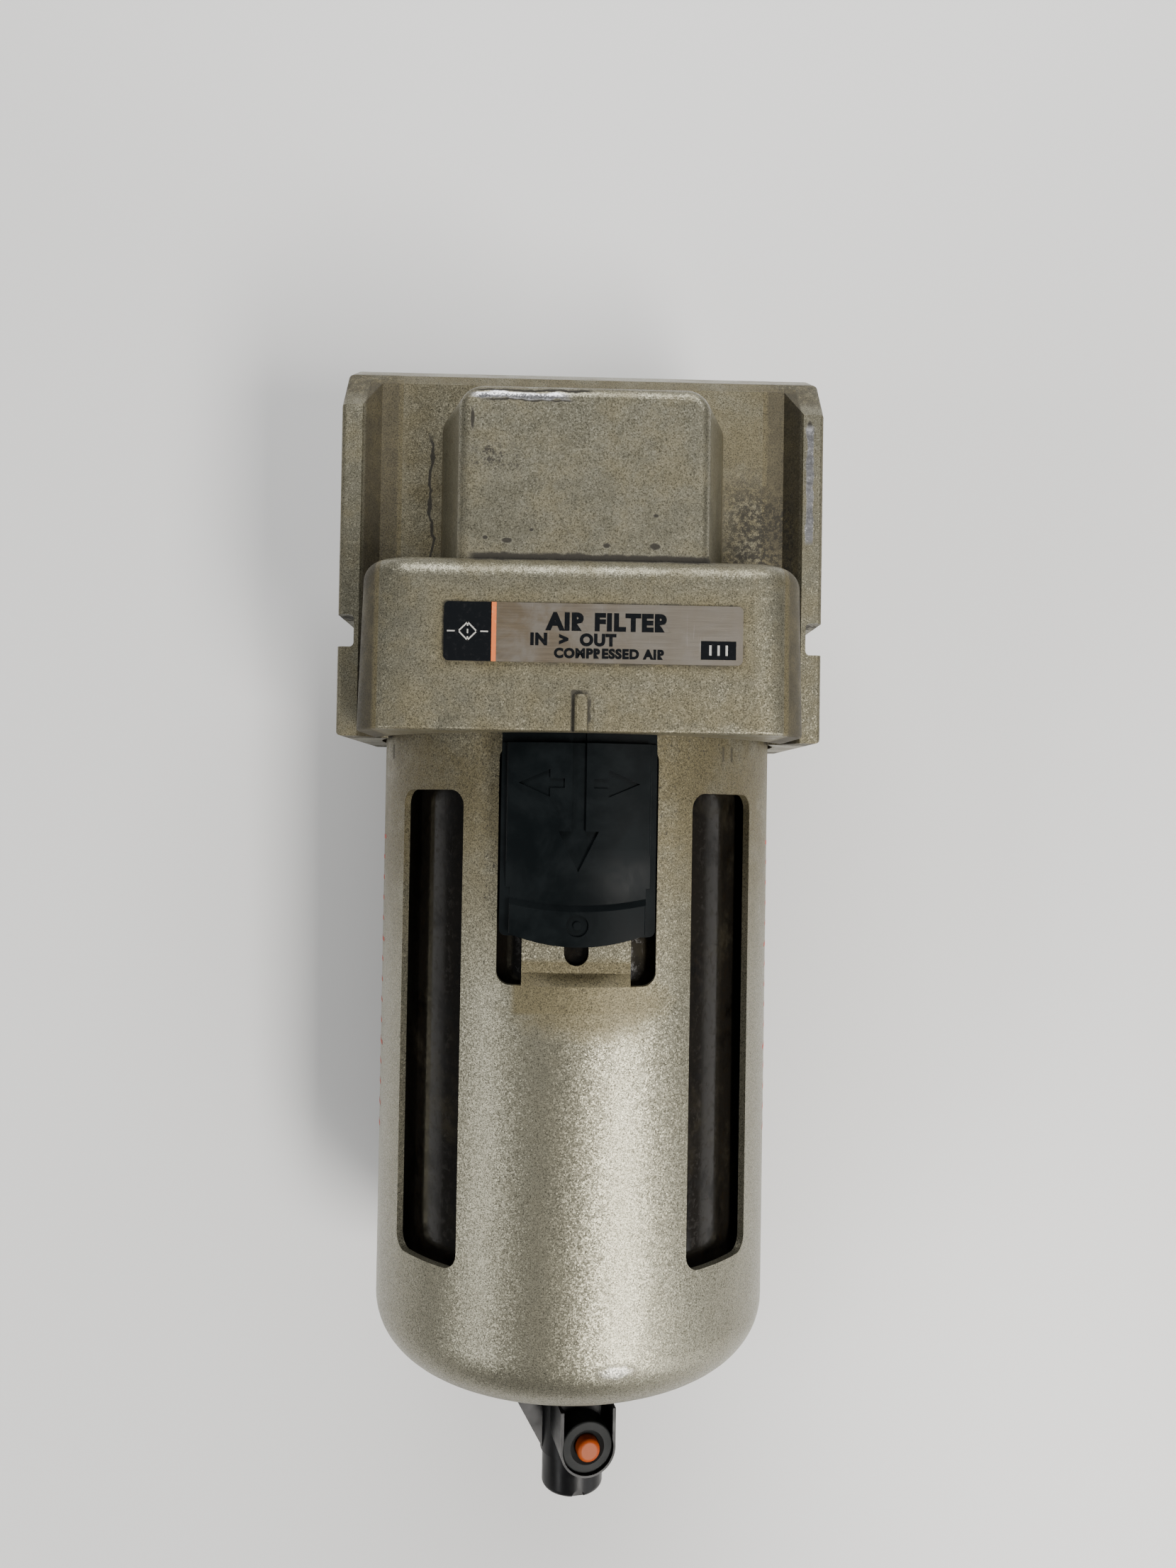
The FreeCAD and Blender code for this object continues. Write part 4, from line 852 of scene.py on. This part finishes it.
def label_words(black):
    """Three lines of generic words."""
    # name, words, letter size, x and z of the line's middle
    lines = (
        ("label_title", "AIR FILTER", 2.25 * MM, 2.5 * MM, 1.03 * MM),
        ("label_flow", "IN  >  OUT", 1.55 * MM, -0.9 * MM, -0.70 * MM),
        ("label_medium", "COMPRESSED AIR", 1.25 * MM, 2.7 * MM, -2.02 * MM),
    )
    for name, words, size, x, z in lines:
        line_piece = text_piece(name, words, size, print_depth, black)
        line_piece.data.transform(Matrix.Translation(on_plate(x, z)))
        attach(line_piece, "head")


def label_tab(black, silver):
    """Blank black tab with three upright marks."""
    tab_x = plate_high.x - 2.4 * MM
    tab_z = -1.45 * MM
    printed("label_tab", rounded(3.46 * MM, 1.83 * MM), on_plate(tab_x, tab_z), black)
    mark_gap = 0.8 * MM
    for k in range(3):
        mark = rounded(0.22 * MM, 1.0 * MM)
        place = on_plate(tab_x + (k - 1) * mark_gap, tab_z, print_depth)
        printed(f"label_tab_mark_{k}", mark, place, silver)


def turned_bar(length, thick, angle):
    """Outline of a bar about the origin, turned by angle."""
    corners = ((-1, -1), (1, -1), (1, 1), (-1, 1))
    outline = []
    for sx, sz in corners:
        x = sx * length / 2
        z = sz * thick / 2
        turned_x = x * math.cos(angle) - z * math.sin(angle)
        turned_z = x * math.sin(angle) + z * math.cos(angle)
        outline.append((turned_x, turned_z))
    return outline


def text_piece(name, words, size, depth, material):
    """Flat lettering as a mesh, centred on the origin and facing the front."""
    curve = bpy.data.curves.new(name, "FONT")
    curve.body = words
    curve.size = size
    curve.align_x = "CENTER"
    curve.align_y = "CENTER"
    curve.space_character = 1.12
    curve.extrude = depth / 2
    curve.offset = size * 0.06
    holder = bpy.data.objects.new(name + "_curve", curve)
    bpy.context.scene.collection.objects.link(holder)
    mesh = bpy.data.meshes.new_from_object(holder)
    bpy.data.objects.remove(holder)
    bpy.data.curves.remove(curve)
    mesh.name = name
    mesh.transform(Euler((math.radians(90), 0, 0)).to_matrix().to_4x4())
    mesh.transform(Matrix.Translation((0, -depth / 2, 0)))
    mesh.materials.clear()
    mesh.materials.append(material)
    piece = bpy.data.objects.new(name, mesh)
    bpy.context.scene.collection.objects.link(piece)
    return piece


def curved_mark(points, faces, centre, half_angle, z):
    """Adds one printed mark at height z that bends round the guard, to points and faces."""
    steps = 6
    half_height = 0.22 * MM
    first = len(points)
    for k in range(steps + 1):
        a = centre - half_angle + 2 * half_angle * k / steps
        for r in (guard_r, guard_r + print_depth):
            for dz in (-half_height, half_height):
                points.append((r * math.sin(a), -r * math.cos(a), z + dz))
    for k in range(steps):
        a = first + 4 * k
        b = a + 4
        faces.append((a + 2, a + 3, b + 3, b + 2))
        faces.append((a, b, b + 1, a + 1))
        faces.append((a + 1, b + 1, b + 3, a + 3))
        faces.append((a, a + 2, b + 2, b))
    faces.append((first, first + 1, first + 3, first + 2))
    end = first + 4 * steps
    faces.append((end, end + 2, end + 3, end + 1))


def level_marks():
    """Faint red level marks printed on both sides of the guard, every fifth one long."""
    red = ink("print_red", (0.50, 0.10, 0.075), faded=(0.42, 0.30, 0.22), rough=0.5)
    count = 15
    top = -40.0 * MM
    gap = 2.35 * MM
    for side_name, azimuth in (("left", -79.0), ("right", 79.0)):
        points = []
        faces = []
        for i in range(count):
            half_angle = math.radians(5.0 if i % 5 == 0 else 2.8)
            curved_mark(points, faces, math.radians(azimuth), half_angle, top - gap * i)
        name = f"level_marks_{side_name}"
        mesh_piece(name, points, faces, red, "bowl_unit", smooth=False)


def working_coil(node, joint_name, wire):
    """Copy of a spring in the wire finish, riding on the fixed side of its joint, in place of the
    hidden CAD spring.
    """
    joint = next(j for j in frame["record"]["behaviour"]["joints"] if j["name"] == joint_name)
    mesh = frame["nodes"][node].data.copy()
    mesh.materials.clear()
    mesh.materials.append(wire)
    coil = bpy.data.objects.new(node + "_coil", mesh)
    bpy.context.scene.collection.objects.link(coil)
    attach(coil, joint["parent"])
    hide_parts(node)
    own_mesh(coil)


def pieces():
    """Everything that Blender adds to the CAD nodes."""
    wire = spring_wire()
    working_coil("lock_spring", "lock_slide", wire)
    working_coil("drain_spring", "drain_push", wire)
    thread_paint = champagne_paint("thread_metal", tone=0.9, speck=0.2)
    port_thread("inlet_thread", -1, thread_paint)
    port_thread("outlet_thread", 1, thread_paint)
    label_print()
    level_marks()


# ---- stage, light and camera --------------------------------------------------------
def floor_finish():
    """Pale smooth sheet, see-through from its back so that it never hides the filter."""
    m = Finish("pale_floor")
    soft = m.noise(0.15, detail=2.0)
    colour = m.mix(soft, rgb(0.72, 0.72, 0.714), rgb(0.78, 0.775, 0.77))
    pale = m.done(Base_Color=colour, Roughness=0.45)
    facing = m.new("ShaderNodeNewGeometry").outputs["Backfacing"]
    clear = m.new("ShaderNodeBsdfTransparent")
    both = m.new("ShaderNodeMixShader")
    m.feed(both.inputs[0], facing)
    m.feed(both.inputs[1], m.shader.outputs[0])
    m.feed(both.inputs[2], clear.outputs[0])
    m.feed(m.nodes["Material Output"].inputs["Surface"], both.outputs[0])
    return pale


def make_floor():
    """Pale table that the filter lies on, under its back: it rests on skirt and guard.

    It neither lights the filter nor keeps the light behind from it."""
    rest_top = Vector((0, -head_low.y, head_low.z))
    dome_height = 6.0 * MM
    rest_low = Vector((0, guard_r, guard_low.z + dome_height))
    along = (rest_top - rest_low).normalized()
    side = Vector((1, 0, 0))
    out = side.cross(along).normalized()
    reach = 0.8
    # out points forward here, so the table ends up 0.05 mm behind the points it rests on
    centre = (rest_top + rest_low) / 2 + out * (0.1 * MM)
    centre = centre + Vector((0, 0.15 * MM, 0))
    corners = [(-1, -1), (1, -1), (1, 1), (-1, 1)]
    points = [centre + side * reach * sx + along * reach * sz for sx, sz in corners]
    mesh = bpy.data.meshes.new("floor")
    mesh.from_pydata([tuple(p) for p in points], [], [(0, 1, 2, 3)])
    if mesh.polygons[0].normal.y > 0:
        mesh.flip_normals()
    mesh.materials.append(floor_finish())
    floor = bpy.data.objects.new("floor", mesh)
    bpy.context.scene.collection.objects.link(floor)
    floor.visible_diffuse = False
    floor.visible_shadow = False


def area_light(name, place, target, size, power, colour=(1, 1, 1)):
    """Rectangular light at place that faces target; size in metres, power in watts."""
    data = bpy.data.lights.new(name, "AREA")
    data.shape = "RECTANGLE"
    data.size, data.size_y = size
    data.energy = power
    data.color = colour
    light = bpy.data.objects.new(name, data)
    light.location = place
    light.rotation_mode = "QUATERNION"
    direction = Vector(target) - Vector(place)
    light.rotation_quaternion = direction.to_track_quat("-Z", "Y")
    bpy.context.scene.collection.objects.link(light)


def make_lights():
    """A warm key from low on the outlet's side, soft fills round it and a dim grey world."""
    centre = (cad_low + cad_high) / 2
    warm = (1.0, 0.97, 0.92)
    area_light("key", centre + Vector((0.30, -0.58, -0.26)), centre, (0.14, 0.34), 5.8, warm)
    area_light("side_fill", centre + Vector((-0.52, -0.42, -0.24)), centre, (0.12, 0.40), 1.6)
    area_light("low_fill", centre + Vector((0.55, -0.35, -0.50)), centre, (0.7, 0.4), 2.6)
    above = centre + Vector((0.0, 0.0, 0.16))
    area_light("top_fill", centre + Vector((0.05, -0.40, 0.60)), above, (0.7, 0.3), 5.4)
    area_light("back_fill", centre + Vector((0.1, 0.8, 0.4)), centre, (0.8, 0.8), 4.0)
    world = bpy.data.worlds.new("studio")
    world.use_nodes = True
    background = world.node_tree.nodes["Background"]
    background.inputs["Color"].default_value = (0.80, 0.80, 0.79, 1.0)
    background.inputs["Strength"].default_value = 0.19
    bpy.context.scene.world = world


def make_camera():
    """Held almost square to the filter, 14 cm in front of its middle."""
    data = bpy.data.cameras.new("camera")
    data.sensor_width = 36.0
    data.lens = 27.03
    data.clip_start = 0.005
    data.clip_end = 10.0
    camera = bpy.data.objects.new("camera", data)
    yaw = math.radians(-1.2)
    pitch = math.radians(1.01)
    roll = math.radians(-0.94)
    turn = Matrix.Rotation(yaw, 3, "Z") @ Matrix.Rotation(pitch, 3, "X")
    turn = turn @ Matrix.Rotation(roll, 3, "Y")
    right = turn @ Vector((1, 0, 0))
    forward = turn @ Vector((0, 1, 0))
    up = turn @ Vector((0, 0, 1))
    facing = Matrix((right, up, -forward)).transposed()
    place = Vector((-1.6 * MM, -141.4 * MM, -36.0 * MM))
    camera.matrix_world = Matrix.Translation(place) @ facing.to_4x4()
    bpy.context.scene.collection.objects.link(camera)
    bpy.context.scene.camera = camera


dress_all()
pieces()
make_floor()
make_lights()
make_camera()
